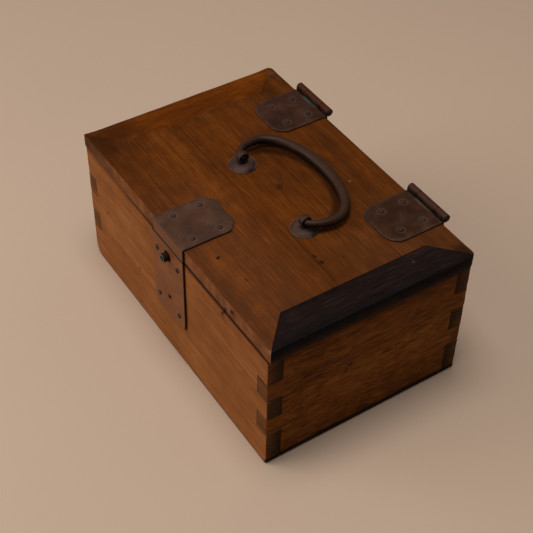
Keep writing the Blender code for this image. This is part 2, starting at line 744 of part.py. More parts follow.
def make_latch(front_wall):
    foot = LOCK_TOP - LOCK_PLATE_HEIGHT
    half = LOCK_PLATE_WIDTH / 2
    outline = rounded([
        (-half, foot, LOCK_PLATE_CORNER),
        (half, foot, LOCK_PLATE_CORNER),
        (half, LOCK_TOP, 0),
        (-half, LOCK_TOP, 0),
    ])
    plate = slab("lock_plate", outline, SHEET, (LOCK_X, PLATE_BACK - SHEET / 2, 0), FORWARD)
    add(plate, LOCK_COPPER)
    columns = [LOCK_X + LOCK_NAILS_X + way * LOCK_NAILS_APART / 2 for way in (-1, 1)]
    rows = (LOCK_TOP - LOCK_NAIL_TOP, foot + LOCK_NAIL_FOOT)
    places = [(u, PLATE_BACK - SHEET, v) for u, v in grid(columns, rows)]
    holes = nail_group("lock_plate", places, FORWARD)
    bore = add_cutter(rod("button_hole", HOLE_RADIUS, 2 * (SHEET + OVERCUT), BUTTON_AXIS, FORWARD))
    cut(plate, holes, bore)
    cut(front_wall, holes)

    half_mortise = FLANGE_RADIUS + MORTISE_SIDE
    mortise = block(
        "mortise",
        (LOCK_X - half_mortise, FRONT - OVERCUT, RIVET_Z - SPRING_TAIL - CLEARANCE),
        (LOCK_X + half_mortise, MORTISE_BACK, WALL_TOP + OVERCUT),
    )
    cut(front_wall, add_cutter(mortise))

    # The button, from its crown back to its flange behind the plate
    crown = SHEET + BUTTON_PROUD
    profile = [(r, z + crown - BUTTON_DOME) for r, z in dome(BUTTON_RADIUS, BUTTON_DOME)]
    profile += [
        (BUTTON_RADIUS, -CLEARANCE),
        (FLANGE_RADIUS, -CLEARANCE),
        (FLANGE_RADIUS, -CLEARANCE - BUTTON_FLANGE),
        (0, -CLEARANCE - BUTTON_FLANGE),
    ]
    add(turned("push_button", profile, BUTTON_AXIS, FORWARD), IRON)

    # The spring, seen from its side: (y, z) up its front face, then down its back
    seat = PLATE_BACK + CLEARANCE
    pad = PLATE_BACK + 2 * CLEARANCE + BUTTON_FLANGE
    top = NOSE_LOW + NOSE
    face = [
        (seat, RIVET_Z - SPRING_TAIL),
        (seat, RIVET_Z + SPRING_TAIL),
        (pad, BUTTON_Z - SPRING_PAD),
        (pad, BUTTON_Z + SPRING_PAD),
        (SPRING_TOP_Y, LIP_LOW - CLEARANCE),
        (SPRING_TOP_Y, NOSE_LOW),
    ]
    nose_tip = STRIKE_FRONT + STRIKE + CLEARANCE
    nose = [(nose_tip, NOSE_LOW), (nose_tip, top), (SPRING_TOP_Y + SPRING, top)]
    back = [(y + SPRING, z) for y, z in reversed(face[:-1])]
    spring = slab("latch_spring", face + nose + back, SPRING_WIDTH, (LOCK_X, 0, 0), SIDEWAYS)
    add(spring, STEEL)

    grip = SHEET + CLEARANCE + SPRING
    head = [(r, z + CLEARANCE) for r, z in dome(RIVET_HEAD_RADIUS, RIVET_HEAD)]
    tail = -grip - CLEARANCE
    rivet_profile = head + [
        (RIVET_RADIUS, CLEARANCE),
        (RIVET_RADIUS, tail),
        (RIVET_HEAD_RADIUS, tail),
        (RIVET_HEAD_RADIUS, tail - RIVET_HEAD),
        (0, tail - RIVET_HEAD),
    ]
    rivet_place = (LOCK_X, PLATE_BACK - SHEET, RIVET_Z)
    add(turned("spring_rivet", rivet_profile, rivet_place, FORWARD, SMALL_STEPS), IRON)
    hole_length = 2 * (grip + OVERCUT)
    rivet_hole = rod(
        "rivet_hole", RIVET_RADIUS + CLEARANCE, hole_length, rivet_place, FORWARD, SMALL_STEPS
    )
    cut(plate, add_cutter(rivet_hole))
    cut(spring, rivet_hole)


def main():
    front_wall, back_wall = make_walls()
    lid_panel = make_lid()
    for side, way in (("left", -1), ("right", 1)):
        x = way * (BOX_LENGTH / 2 - HINGE_INSETS[side])
        make_hinge(side, x, lid_panel, back_wall)
    make_handle(lid_panel)
    make_lid_plate(lid_panel)
    make_strike(lid_panel)
    make_latch(front_wall)
    for name, axis in (("hinge", HINGE_AXIS), ("handle", HANDLE_AXIS), ("button", BUTTON_AXIS)):
        print(name, "axis", tuple(axis))


main()
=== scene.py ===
import json
import math

import bmesh
import bpy
import numpy as np
from mathutils import Matrix, Vector


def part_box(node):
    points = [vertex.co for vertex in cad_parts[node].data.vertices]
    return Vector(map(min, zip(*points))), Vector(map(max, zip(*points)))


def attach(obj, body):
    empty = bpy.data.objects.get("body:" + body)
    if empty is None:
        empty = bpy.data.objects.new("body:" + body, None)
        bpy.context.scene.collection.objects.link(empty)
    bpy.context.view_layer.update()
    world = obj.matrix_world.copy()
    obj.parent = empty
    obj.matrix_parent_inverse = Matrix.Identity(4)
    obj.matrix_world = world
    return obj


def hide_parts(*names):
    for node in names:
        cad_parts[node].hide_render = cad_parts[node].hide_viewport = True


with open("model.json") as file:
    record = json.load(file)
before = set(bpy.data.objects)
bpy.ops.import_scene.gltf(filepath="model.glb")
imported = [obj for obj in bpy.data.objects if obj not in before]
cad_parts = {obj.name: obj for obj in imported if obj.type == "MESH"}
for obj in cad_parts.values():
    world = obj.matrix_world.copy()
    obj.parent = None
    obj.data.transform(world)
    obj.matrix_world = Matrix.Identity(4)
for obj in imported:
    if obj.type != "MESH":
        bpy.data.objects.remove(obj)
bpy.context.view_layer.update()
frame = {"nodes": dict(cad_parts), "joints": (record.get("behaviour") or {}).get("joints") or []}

mm = 0.001  # pieces are worked out in millimetres
touch = 0.3  # gap that the frame leaves between neighbours
sheet = 1.2  # thickness of the sheet metal
close = 0.01  # a point this near to a line lies on it
crease = math.radians(40)  # edges bent by more stay sharp


def span(node):
    # lowest and highest corner of a frame node, in millimetres
    low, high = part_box(node)
    return np.array(low) / mm, np.array(high) / mm


def middle(node):
    # half the sum of a node's two corners
    return sum(span(node)) / 2


def pivot(joint):
    # a joint's place, in millimetres
    return next(np.array(j["pos_m"]) / mm for j in frame["joints"] if j["name"] == joint)


lidTop = span("lid_panel")[1][2]


# outlines and paths, whole arrays at a time

def unit(v):
    # every vector over its own length
    return v / np.linalg.norm(v, axis=-1, keepdims=True)


def aside(v):
    # a flat vector turned a quarter to the left: (-y, x)
    return np.stack([-v[..., 1], v[..., 0]], -1)


def quarter(count):
    # angles from 0 to a right angle, evenly spread
    return np.linspace(0, np.pi / 2, count)


def ripple(points, size, seed, waves=7):
    # seeded sines along seeded directions, added up: about -1 to 1, a swell every size
    draw = np.random.default_rng(seed)
    headings = unit(draw.normal(size=(waves, points.shape[-1])))
    turns = draw.uniform(0.7, 1.4, waves) * 2 * np.pi / size
    phases = draw.uniform(0, 2 * np.pi, waves)
    return np.sin(points @ (headings * turns[:, None]).T + phases).sum(-1) / waves ** 0.5


def uneven(points, share, size, seed):
    # 1, give or take a share of the ripple
    return 1 + share * ripple(points, size, seed)


def dented(rise, uv, nails, depth, reach=2.6):
    # takes a dip of depth exp(-(d / reach)^2) from the rise round every nail
    for nailAt in nails:
        far = np.linalg.norm(uv - np.array(nailAt), axis=-1)
        rise = rise - depth * np.exp(-(far / reach) ** 2)
    return rise


def rounded(corners, radii, steps=8):
    # each corner becomes an arc that touches both its sides; a radius of 0 keeps it sharp
    corner = np.array(corners, float)
    radius = np.array(radii, float)[:, None]
    before = unit(np.roll(corner, 1, 0) - corner)
    after = unit(np.roll(corner, -1, 0) - corner)
    half = np.arccos((before * after).sum(1, keepdims=True)) / 2
    centre = corner + unit(before + after) * radius / np.sin(half)
    start = corner + before * radius / np.tan(half) - centre
    end = corner + after * radius / np.tan(half) - centre
    t = np.linspace(0, 1, steps + 1)[None, :, None]
    turn = (np.pi - 2 * half)[:, None]
    arcs = (np.sin((1 - t) * turn) * start[:, None] + np.sin(t * turn) * end[:, None]) / np.sin(turn)
    arcs = arcs + centre[:, None]
    return np.concatenate([arc if r > 0 else arc[:1] for arc, r in zip(arcs, radius[:, 0])])


def dense(corners, step):
    # every side of a closed outline cut into equal stretches no longer than step
    corners = np.array(corners, float)
    sides = np.roll(corners, -1, 0) - corners
    counts = np.maximum(1, np.ceil(np.linalg.norm(sides, axis=1) / step)).astype(int)
    first = np.repeat(np.cumsum(counts) - counts, counts)
    share = (np.arange(counts.sum()) - first) / np.repeat(counts, counts)
    return np.repeat(corners, counts, 0) + np.repeat(sides, counts, 0) * share[:, None]


def tab(x, half, top, foot, corner, step=1.6):
    # a plate's outline, square at the top and rounded at its two lower corners
    corners = [(x + half, top), (x - half, top), (x - half, foot), (x + half, foot)]
    return dense(rounded(corners, [0, 0, corner, corner]), step)


def inset(outline, depth):
    # every point moves in along its mitre (a + b) / (1 + a.b), a and b the normals of its two sides
    sides = np.roll(outline, -1, 0) - outline
    area = (outline[:, 0] * sides[:, 1] - outline[:, 1] * sides[:, 0]).sum()
    ahead = aside(unit(sides)) * np.sign(area)
    behind = np.roll(ahead, 1, 0)
    mitre = (ahead + behind) / (1 + (ahead * behind).sum(1, keepdims=True))
    return outline + mitre * np.asarray(depth)[..., None]


def bezier(knots, steps):
    # cubic Bezier through knots of (place, handle before, handle after)
    knots = np.array(knots, float)
    t = (np.arange(steps) / steps)[None, :, None]
    a, b, c, d = (p[:, None] for p in (knots[:-1, 0], knots[:-1, 2], knots[1:, 1], knots[1:, 0]))
    path = (1 - t) ** 3 * a + 3 * (1 - t) ** 2 * t * b + 3 * (1 - t) * t ** 2 * c + t ** 3 * d
    return np.concatenate([path.reshape(-1, knots.shape[-1]), knots[-1:, 0]])


def dome(radius, base, rise, count=6):
    # a quarter of an ellipse from its top down: (r sin a, base + h cos a)
    a = quarter(count)
    return np.stack([radius * np.sin(a), base + rise * np.cos(a)], -1)


# which way a piece's own u, v and w point
ways = {
    "up": ((1, 0, 0), (0, 1, 0), (0, 0, 1)),
    "down": ((1, 0, 0), (0, -1, 0), (0, 0, -1)),
    "front": ((1, 0, 0), (0, 0, 1), (0, -1, 0)),
    "back": ((-1, 0, 0), (0, 0, 1), (0, 1, 0)),
    "right": ((0, 1, 0), (0, 0, 1), (1, 0, 0)),
    "left": ((0, -1, 0), (0, 0, 1), (-1, 0, 0)),
}


class Shell:
    # rings of points joined into closed skins; every point is marked for wear and painted light, and for
    # seam dirt and painted shade

    def __init__(self):
        self.points = []
        self.marks = []
        self.faces = []
        self.count = 0

    def put(self, points, wear=0.0, seam=0.0):
        # keeps a grid of points and gives back their numbers in the same grid
        shape = points.shape[:-1]
        numbers = self.count + np.arange(np.prod(shape)).reshape(shape)
        marks = np.stack([np.broadcast_to(wear, shape), np.broadcast_to(seam, shape)], -1)
        self.points.append(points.reshape(-1, 3))
        self.marks.append(marks.reshape(-1, 2))
        self.count += numbers.size
        return numbers

    def skin(self, numbers, loop=False):
        # four-sided faces between each ring and the next; loop joins the last ring to the first
        if loop:
            numbers = np.concatenate([numbers, numbers[:1]])
        a, b = numbers[:-1], numbers[1:]
        self.faces += np.stack([a, np.roll(a, -1, 1), np.roll(b, -1, 1), b], -1).reshape(-1, 4).tolist()

    def cap(self, ring):
        # one flat face inside a ring
        self.faces.append(ring.tolist())

    def pole(self, ring, point, wear=0.0):
        # a fan of triangles from a ring to one point
        tip = np.full(len(ring), self.put(point[None], wear)[0])
        self.faces += np.stack([ring, np.roll(ring, -1), tip], -1).tolist()


def placed(uvw, way, origin=(0, 0, 0)):
    # u, v and w carried along the three axes of a way
    return uvw @ np.array(ways[way], float) + np.array(origin, float)


def board(shell, outline, low, high, way, radius, lowRadius, wear=0.0, seam=0.0, lowWearAndPaintedLight=0.0,
          support=0.8, steps=4, lowOutline=None):
    # an outline carried from w = low, where it may differ, to high; each rim is a quarter round:
    # in by r (1 - sin a) and up by r (1 - cos a), then a flat support ring inside it
    radius, lowRadius, wear, seam, lowWearAndPaintedLight, support = (
        np.broadcast_to(np.asarray(x, float), len(outline))
        for x in (radius, lowRadius, wear, seam, lowWearAndPaintedLight, support)
    )
    angle = quarter(steps + 1)[:, None]
    sideways, upwards = 1 - np.sin(angle), 1 - np.cos(angle)
    flat = np.zeros((1, len(outline)))
    depth = np.concatenate([
        flat + lowRadius + support, lowRadius * sideways, radius * upwards, flat + radius + support,
    ])
    height = np.concatenate([flat + low, low + lowRadius * upwards, high - radius * sideways, flat + high])
    around = np.ones((steps + 1, 1))
    fade = np.linspace(1, 0, steps + 1)[:, None]
    wearsAndPaintedLight = np.concatenate([flat, around * lowWearAndPaintedLight, fade * wear, flat])
    seamsAndShade = np.concatenate([flat, around * seam, around * seam, flat])
    below = outline if lowOutline is None else lowOutline
    uv = np.concatenate([inset(below, depth[:steps + 2]), inset(outline, depth[steps + 2:])])
    numbers = shell.put(placed(np.dstack([uv, height]), way), wearsAndPaintedLight, seamsAndShade)
    shell.skin(numbers)
    shell.cap(numbers[0])
    shell.cap(numbers[-1])


def band(shell, path, thickness, low, high, edge, wear, support, steps):
    # a strip bent along a path in y and z and carried across x: the path set off by half the
    # thickness to its left, and back again to its right
    off = aside(unit(np.gradient(path, axis=0))) * thickness / 2
    outline = np.concatenate([path + off, (path - off)[::-1]])
    board(shell, outline, low, high, "right", edge, edge, wear, 0.0, wear, support, steps)


# old sheet metal: how its rings crowd to the rim, how it swells, dips at nails and is worn at the rim
metalSheet = dict(rings=16, crowd=1.6, swell=0.08, swellSize=30, dent=0.16, wearReach=0.9)


def plate(shell, outline, low, high, way, hole=None, radius=0.3, seed=1, dents=(), lift=None):
    # rings that shrink from the rim to a hole or to the middle, front and back a sheet apart;
    # w adds a slow ripple and a dip round every nail
    core = np.array(hole[0], float) if hole else outline.mean(0)
    bore = core + unit(outline - core) * (hole[1] if hole else 0)
    share = (np.linspace(0, 1, metalSheet["rings"]) ** metalSheet["crowd"])[:, None, None]
    if not hole:
        share = share[:-1]
    face = inset(outline, np.full(len(outline), radius)) * (1 - share) + bore * share
    angle = quarter(4)[1:-1]
    rim = inset(outline, radius * (1 - np.sin(angle))[:, None] * np.ones(len(outline)))
    uv = np.concatenate([face[::-1], rim, [outline, outline], rim[::-1], face])
    rise = radius * (1 - np.cos(angle))
    w = np.concatenate([
        np.full(len(face), low), low + rise, [low + radius, high - radius], high - rise[::-1],
        np.full(len(face), high),
    ])
    bump = metalSheet["swell"] * ripple(uv, metalSheet["swellSize"], seed)
    bump = dented(bump, uv, dents, metalSheet["dent"])
    if lift:
        bump = bump + lift(uv)
    wornAndPaintedLight = np.exp(-np.linalg.norm(face - face[:1], axis=-1) / metalSheet["wearReach"])
    wear = np.concatenate([wornAndPaintedLight[::-1], np.ones((2 * len(rise) + 2, len(outline))), wornAndPaintedLight])
    numbers = shell.put(placed(np.dstack([uv, w[:, None] + bump]), way), wear)
    shell.skin(numbers, loop=bool(hole))
    if not hole:
        for ring, level in ((numbers[0], low), (numbers[-1], high)):
            shell.pole(ring, placed(np.array([*uv[0].mean(0), level + bump[0].mean()]), way))


def turned(shell, profile, origin, way, steps=36, sway=0.0, seed=1, lean=None, wear=0.0, slot=None):
    # a profile of (radius, height) spun round its height; a radius of 0 is a pole, and a slot makes
    # the first and last ring a rectangle: the smaller of a / |cos t| and b / |sin t|
    profile = np.array(profile, float)
    around = np.linspace(0, 2 * np.pi, steps, endpoint=False)
    circle = np.stack([np.cos(around), np.sin(around)], -1)
    radius = profile[:, :1] * uneven(circle, sway, 2.2, seed)
    if slot:
        radius[[0, -1]] = (np.array(slot) / np.maximum(np.abs(circle), close)).min(-1)
    uvw = np.concatenate([radius[..., None] * circle, np.repeat(profile[:, None, 1:], steps, 1)], -1)
    if lean is not None:
        uvw = uvw @ np.array(lean)
    points = placed(uvw, way, origin)
    wearsAndPaintedLight = np.broadcast_to(np.asarray(wear, float), len(profile))[:, None]
    open0, open1 = profile[0, 0] > 0, profile[-1, 0] > 0
    ring = slice(0 if open0 else 1, len(profile) if open1 else -1)
    numbers = shell.put(points[ring], wearsAndPaintedLight[ring])
    shell.skin(numbers, loop=open0 and open1)
    for isOpen, k in ((open0, 0), (open1, -1)):
        if not isOpen:
            shell.pole(numbers[k], points[k, 0], wearsAndPaintedLight[k, 0])


def added(name, data):
    # a new object at the origin
    obj = bpy.data.objects.new(name, data)
    bpy.context.scene.collection.objects.link(obj)
    return obj


def carve(obj, low, high):
    # takes a block out of a piece
    corners = np.array(np.meshgrid(*zip(low, high), indexing="ij")).reshape(3, -1).T * mm
    block = bmesh.new()
    bmesh.ops.convex_hull(block, input=[block.verts.new(c) for c in corners])
    mesh = bpy.data.meshes.new("cutter")
    block.to_mesh(mesh)
    block.free()
    cutter = added("cutter", mesh)
    cut = obj.modifiers.new("cut", "BOOLEAN")
    cut.object = cutter
    cut.solver = "EXACT"
    graph = bpy.context.evaluated_depsgraph_get()
    carved = bpy.data.meshes.new_from_object(obj.evaluated_get(graph))
    obj.modifiers.clear()
    obj.data = carved
    bpy.data.objects.remove(cutter)
    carved.set_sharp_from_angle(angle=crease)


def piece(name, shell, finish, body, nodes, grain=None, pockets=()):
    # a shell as an object: faces outwards, smooth but for its sharp edges, riding in place of its nodes
    mesh = bpy.data.meshes.new(name)
    mesh.from_pydata((np.concatenate(shell.points) * mm).tolist(), [], shell.faces)
    work = bmesh.new()
    work.from_mesh(mesh)
    bmesh.ops.recalc_face_normals(work, faces=work.faces)
    work.to_mesh(mesh)
    work.free()
    mesh.shade_smooth()
    mesh.set_sharp_from_angle(angle=crease)
    marks = np.concatenate(shell.marks).astype(np.float32)
    for column, mark in enumerate(("wear", "seam")):
        mesh.attributes.new(mark, "FLOAT", "POINT").data.foreach_set("value", marks[:, column].copy())
    mesh.materials.append(finish)
    obj = added(name, mesh)
    for low, high in pockets:
        carve(obj, low, high)
    if grain is not None:
        # faces that look along the grain show end grain
        facing = np.zeros(len(obj.data.polygons) * 3, np.float32)
        obj.data.polygons.foreach_get("normal", facing)
        ends = (np.abs(facing.reshape(-1, 3)[:, grain]) > 0.7).astype(np.float32)
        obj.data.attributes.new("endGrain", "FLOAT", "FACE").data.foreach_set("value", ends)
    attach(obj, body)
    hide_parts(*nodes)
    print("made", name, len(obj.data.polygons), "faces")
    return obj


# finishes

def hue(code):
    # a colour written as six hex digits, made linear
    s = np.array([int(code[i:i + 2], 16) for i in (0, 2, 4)]) / 255
    return (*np.where(s <= 0.04045, s / 12.92, ((s + 0.055) / 1.055) ** 2.4).tolist(), 1.0)


class Tone:
    # a shader socket that takes part in sums: each operator adds a Math node

    def __init__(self, finish, socket):
        self.finish = finish
        self.socket = socket

    def maths(self, operation, a, b):
        return self.finish.node("Math", {"operation": operation}, {0: a, 1: b})

    def __add__(self, other):
        return self.maths("ADD", self, other)

    def __sub__(self, other):
        return self.maths("SUBTRACT", self, other)

    def __rsub__(self, other):
        return self.maths("SUBTRACT", other, self)

    def __mul__(self, other):
        return self.maths("MULTIPLY", self, other)

    __radd__ = __add__
    __rmul__ = __mul__


class Finish:
    # a material, its colour so far and the few nodes that every recipe uses

    def __init__(self, name):
        self.material = bpy.data.materials.new(name)
        self.material.use_nodes = True
        self.tree = self.material.node_tree
        self.shader = self.tree.nodes["Principled BSDF"]
        self.colour = None
        spot = self.node("TexCoord", {}, {}, "Object")
        self.place = self.vector("SCALE", spot, scale=1 / mm)  # in millimetres

    def node(self, kind, settings, inputs, output=0):
        # any node: its settings first, then its sockets
        made = self.tree.nodes.new("ShaderNode" + kind)
        for key, value in settings.items():
            if key == "stops":
                while len(made.color_ramp.elements) < len(value):
                    made.color_ramp.elements.new(0.5)
                for element, (at, code) in zip(made.color_ramp.elements, value):
                    element.position = at
                    element.color = hue(code)
            else:
                setattr(made, key, value)
        for key, value in inputs.items():
            self.feed(made.inputs[key], value)
        return Tone(self, made.outputs[output])

    def feed(self, socket, value):
        # links a tone, or sets a plain value
        if isinstance(value, Tone):
            self.tree.links.new(value.socket, socket)
        else:
            socket.default_value = value

    def vector(self, operation, a, b=None, scale=None, output=0):
        inputs = {0: a}
        if b is not None:
            inputs[1] = b
        if scale is not None:
            inputs["Scale"] = scale
        return self.node("VectorMath", {"operation": operation}, inputs, output)

    def far(self, point):
        # distance from a point, in millimetres
        return self.vector("DISTANCE", self.place, point, output="Value")

    def noise(self, size, seed, detail=2.0, place=None):
        # noise with one swell every size, which may differ along x, y and z
        stretch = self.node(
            "Mapping", {"vector_type": "POINT"},
            {"Vector": place or self.place, "Location": (seed * 7.31, seed * 3.17, seed * 5.53),
             "Scale": tuple(1 / s for s in np.broadcast_to(size, 3).tolist())},
        )
        return self.node("TexNoise", {}, {"Vector": stretch, "Scale": 1.0, "Detail": detail})

    def smooth(self, value, low, high, start=0.0, end=1.0):
        # an S-shaped step from start at low to end at high
        return self.node(
            "MapRange", {"interpolation_type": "SMOOTHSTEP"},
            {0: value, 1: low, 2: high, 3: start, 4: end},
        )

    def between(self, value, start, end, soft):
        # 1 from start to end, 0 outside, with a soft step at both
        rising = self.smooth(value, start - soft, start + soft)
        return rising * self.smooth(value, end - soft, end + soft, 1.0, 0.0)

    def near(self, value, at, low, high):
        # 1 within low of a value, 0 past high
        off = self.node("Math", {"operation": "ABSOLUTE"}, {0: value - at})
        return self.smooth(off, low, high, 1.0, 0.0)

    def axis(self, k, place=None):
        # x, y or z of a place, in millimetres
        return self.node("SeparateXYZ", {}, {0: place or self.place}, k)

    def mark(self, name):
        return self.node("Attribute", {"attribute_name": name}, {}, "Fac")

    def mix(self, share, a, b):
        settings = {"data_type": "RGBA", "blend_type": "MIX"}
        return self.node("Mix", settings, {0: share, 6: a, 7: b}, 2)

    def tint(self, share, code):
        # lays a share of a colour over the colour so far
        self.colour = self.mix(share, self.colour, hue(code))

    def ramp(self, value, *stops):
        return self.node("ValToRGB", {"stops": stops}, {0: value})

    def bump(self, height, depth, distance):
        inputs = {"Strength": depth, "Distance": distance * mm, "Height": height}
        return self.node("Bump", {}, inputs)

    def done(self, **sockets):
        # feeds the shader's sockets, named with _ for a space
        for name, value in sockets.items():
            self.feed(self.shader.inputs[name.replace("_", " ")], value)
        return self.material


# hairs are (place across, start, end, depth), spots and chips (x, y, z, size, depth), and
# shades (axis, start, end, depth, raggedness, (x where faded, x where full, least), colour)
# near-black for real dirt, seam dirt and spots, and for painted shade in several shades below
dirtAndShade = "0c0603"
plainWood = dict(
    grain=0, waver=5, driftSize=70, bandLength=260, bandWidth=13, lineWidth=1.7, lineLength=90,
    dashWidth=0.85, dashLength=13, blotchSize=46, cloudSize=11, poreField=(90, 12), flawSize=2.2,
    bands=0.45, lines=0.5, fine=0.6, blotch=0.5, cloud=0.3,
    dark="371a05", mid="552906", light="743d0e", pores=0.6, pore="261105",
    speckSize=0.9, ringSize=(60, 60, 2.6), specks=0.9, rings=1, endDark="1f1006", endLight="3f2410",
    wearSize=9, wear=0.5, wornAndPaintedLight="74482a", seam=0.6, dirtAndShade=dirtAndShade, chip="80706a",
    rough=0.55, bump=0.4, shine=0.04,
)


def wood(name, look):
    # noise drawn out along the grain: bands, lines and short dashes over slow blotches, then pores,
    # hairlines, end grain, worn edges, seam dirt and painted rim shade, a ring of rub mark and painted
    # shadow, shades from a level on (several of them painted shade), spots and chips
    f = Finish(name)
    grain = look["grain"]
    drift = f.noise(look["driftSize"], 9, 1.0) - 0.5
    sway = [look["waver"]] * 3
    sway[grain] = 0.0
    shift = f.node("CombineXYZ", {}, {k: drift for k in range(3)})
    wavy = f.vector("ADD", f.place, f.vector("MULTIPLY", shift, tuple(sway)))

    def fibre(along, across, seed, detail=2.0):
        size = [across] * 3
        size[grain] = along
        return f.noise(size, seed, detail, wavy)

    bands = fibre(look["bandLength"], look["bandWidth"], 1)
    lines = fibre(look["lineLength"], look["lineWidth"], 2)
    fine = fibre(look["dashLength"], look["dashWidth"], 3, 1.0)
    blotch = f.noise(look["blotchSize"], 4, 3.0)
    cloud = f.noise(look["cloudSize"], 5, 3.0)
    tone = (0.5 + look["bands"] * (bands - 0.5) + look["lines"] * (lines - 0.5)
            + look["fine"] * (fine - 0.5) + look["blotch"] * (blotch - 0.5) + look["cloud"] * (cloud - 0.5))
    f.colour = f.ramp(tone, (0.18, look["dark"]), (0.5, look["mid"]), (0.82, look["light"]))
    dash = f.smooth(fibre(look["dashLength"], look["dashWidth"], 6, 1.0), 0.57, 0.68)
    pores = dash * f.smooth(fibre(*look["poreField"], 7), 0.36, 0.62) * look["pores"]
    f.tint(pores, look["pore"])
    for at, start, end, depth in look.get("hairs", ()):
        line = f.near(f.axis(1 - grain, wavy), at, 0.2, 0.9) * f.between(f.axis(grain), start, end, 6)
        f.tint(line * f.smooth(fine, 0.3, 0.6, 0.35, depth), look["pore"])

    speck = f.noise(look["speckSize"], 8)
    rings = f.noise(look["ringSize"], 10)
    endTone = 0.5 + look["specks"] * (speck - 0.5) + look["rings"] * (rings - 0.5)
    endColour = f.ramp(endTone, (0.2, look["endDark"]), (0.8, look["endLight"]))
    f.colour = f.mix(f.mark("endGrain"), f.colour, endColour)
    patchy = f.smooth(f.noise(look["wearSize"], 11, 3.0), 0.36, 0.64, 0.45, 1.0)
    f.tint(f.mark("wear") * patchy * look["wear"], look["wornAndPaintedLight"])
    f.tint(f.mark("seam") * look["seam"], look["dirtAndShade"])
    if "rubAndPaintedLight" in look:
        # an ellipse on the top face, faded towards the front: a rub mark with painted shadow where the bail
        # lies
        rubAndShadow = look["rubAndPaintedLight"]
        off = f.vector("MULTIPLY", f.vector("SUBTRACT", f.place, rubAndShadow["centre"]), rubAndShadow["reach"])
        ring = f.near(f.vector("LENGTH", off, output="Value"), 1.0, 0.2 * rubAndShadow["wide"], rubAndShadow["wide"])
        mark = ring * f.smooth(f.axis(1), *rubAndShadow["fade"]) * f.smooth(cloud, 0.2, 0.6, 0.7, 1.0)
        onTop = f.smooth(f.axis(2), rubAndShadow["centre"][2] - 3, rubAndShadow["centre"][2] - 1)
        f.tint(mark * onTop * rubAndShadow["depth"], look["dirtAndShade"])
    for axis, start, end, depth, ragged, fade, code in look.get("shades", ()):
        shade = f.smooth(f.axis(axis) + ragged * (cloud - 0.5), start, end, 0.0, depth)
        if fade:
            shade = shade * f.smooth(f.axis(0), *fade, 1.0)
        f.tint(shade, code)
    flaw = f.noise(look["flawSize"], 12)
    for kind, code in (("spots", look["dirtAndShade"]), ("chips", look["chip"])):
        for *at, size, depth in look.get(kind, ()):
            # large ones are ragged by the clouds, small ones by the flaws too
            far = f.far(at) + 1.6 * min(size, 9) * (cloud - 0.5) + 2.2 * min(size, 3) * (flaw - 0.5)
            f.tint(f.smooth(far, size * 0.35, size, depth, 0.0), code)
    height = 0.5 * fine + 0.7 * lines - 0.9 * pores
    rough = look["rough"] + 0.22 * (fine - 0.5) + 0.25 * (cloud - 0.5) + 0.12 * pores
    return f.done(Base_Color=f.colour, Roughness=rough, Normal=f.bump(height, look["bump"], 0.25),
                  Specular_IOR_Level=look["shine"])


# halos are (x, y, z, size, depth), fold (z where it starts, z where full, depth, colour), rims of painted
# shadow (axis, place, width, depth, top, colour), strips (x from, x to, y, width, depth, colour) and spots
# of tint, painted light and painted shadow (x, y, z, size, depth, colour)
patches = dict(mottle=9, cloud=24, grit=0.9, bloom=14, wear=5)  # how large the metal's patches are


def patina(name, look):
    # old metal: mottled in two sizes, a bloom where it gathers, rings round nails, worn edges, which on the
    # bail, button and eyes also carry a painted highlight, another tone past a fold, rims and strips along
    # straight lines, some of them painted shadow, and spots of tint, painted light and painted shadow
    f = Finish(name)
    seed = look["seed"]
    mottle = f.noise(patches["mottle"], seed, 4)
    cloud = f.noise(patches["cloud"], seed + 1)
    grit = f.noise(patches["grit"], seed + 2)
    tone = 0.5 + 0.9 * (mottle - 0.5) + 0.8 * (cloud - 0.5) + 0.5 * (grit - 0.5)
    f.colour = f.ramp(tone, (0.2, look["dark"]), (0.5, look["mid"]), (0.8, look["light"]))
    bloom = f.smooth(f.noise(patches["bloom"], seed + 3, 3), 0.50, 0.68)
    f.tint(bloom * look["bloomShare"], look["bloom"])
    for *at, size, depth in look.get("halos", ()):
        far = f.far(at)
        ring = f.smooth(far, size * 0.55, size * 0.8) * f.smooth(far, size * 0.85, size * 1.3, 1, 0)
        f.tint(ring * depth, look["ring"])
    patchy = f.smooth(f.noise(patches["wear"], seed + 4, 3), 0.34, 0.62, look.get("patchy", 0.3), 1)
    f.tint(f.mark("wear") * patchy * look["wear"], look["wornAndPaintedLight"])
    if "fold" in look:
        start, end, depth, code = look["fold"]
        f.tint(f.smooth(f.axis(2), start, end, 0, depth) * f.smooth(mottle, 0.2, 0.7, 0.8, 1), code)
    for axis, at, wide, depth, top, code in look.get("rims", ()):
        rim = f.near(f.axis(axis), at, 0.4 * wide, wide) * f.smooth(f.axis(2), top, top - 0.6)
        f.tint(rim * depth, code)
    for x0, x1, y, wide, depth, code in look.get("strips", ()):
        strip = f.between(f.axis(0), x0, x1, 2) * f.near(f.axis(1), y, 0.4 * wide, wide)
        f.tint(strip * f.smooth(mottle, 0.3, 0.6, 0.4, 1) * depth, code)
    for *at, size, depth, code in look.get("tintsAndPaintedLight", ()):
        far = f.far(at) + size * (mottle - 0.5)
        f.tint(f.smooth(far, size * 0.5, size, depth, 0), code)
    rough = look["rough"] + 0.3 * (mottle - 0.5) + 0.2 * (grit - 0.5)
    metal = look["metal"] + 0.2 * (cloud - 0.5)
    height = 0.5 * grit + 1.2 * mottle
    return f.done(Base_Color=f.colour, Roughness=rough, Metallic=metal,
                  Normal=f.bump(height, look["bump"], 0.3), Specular_IOR_Level=look["shine"])


# walls

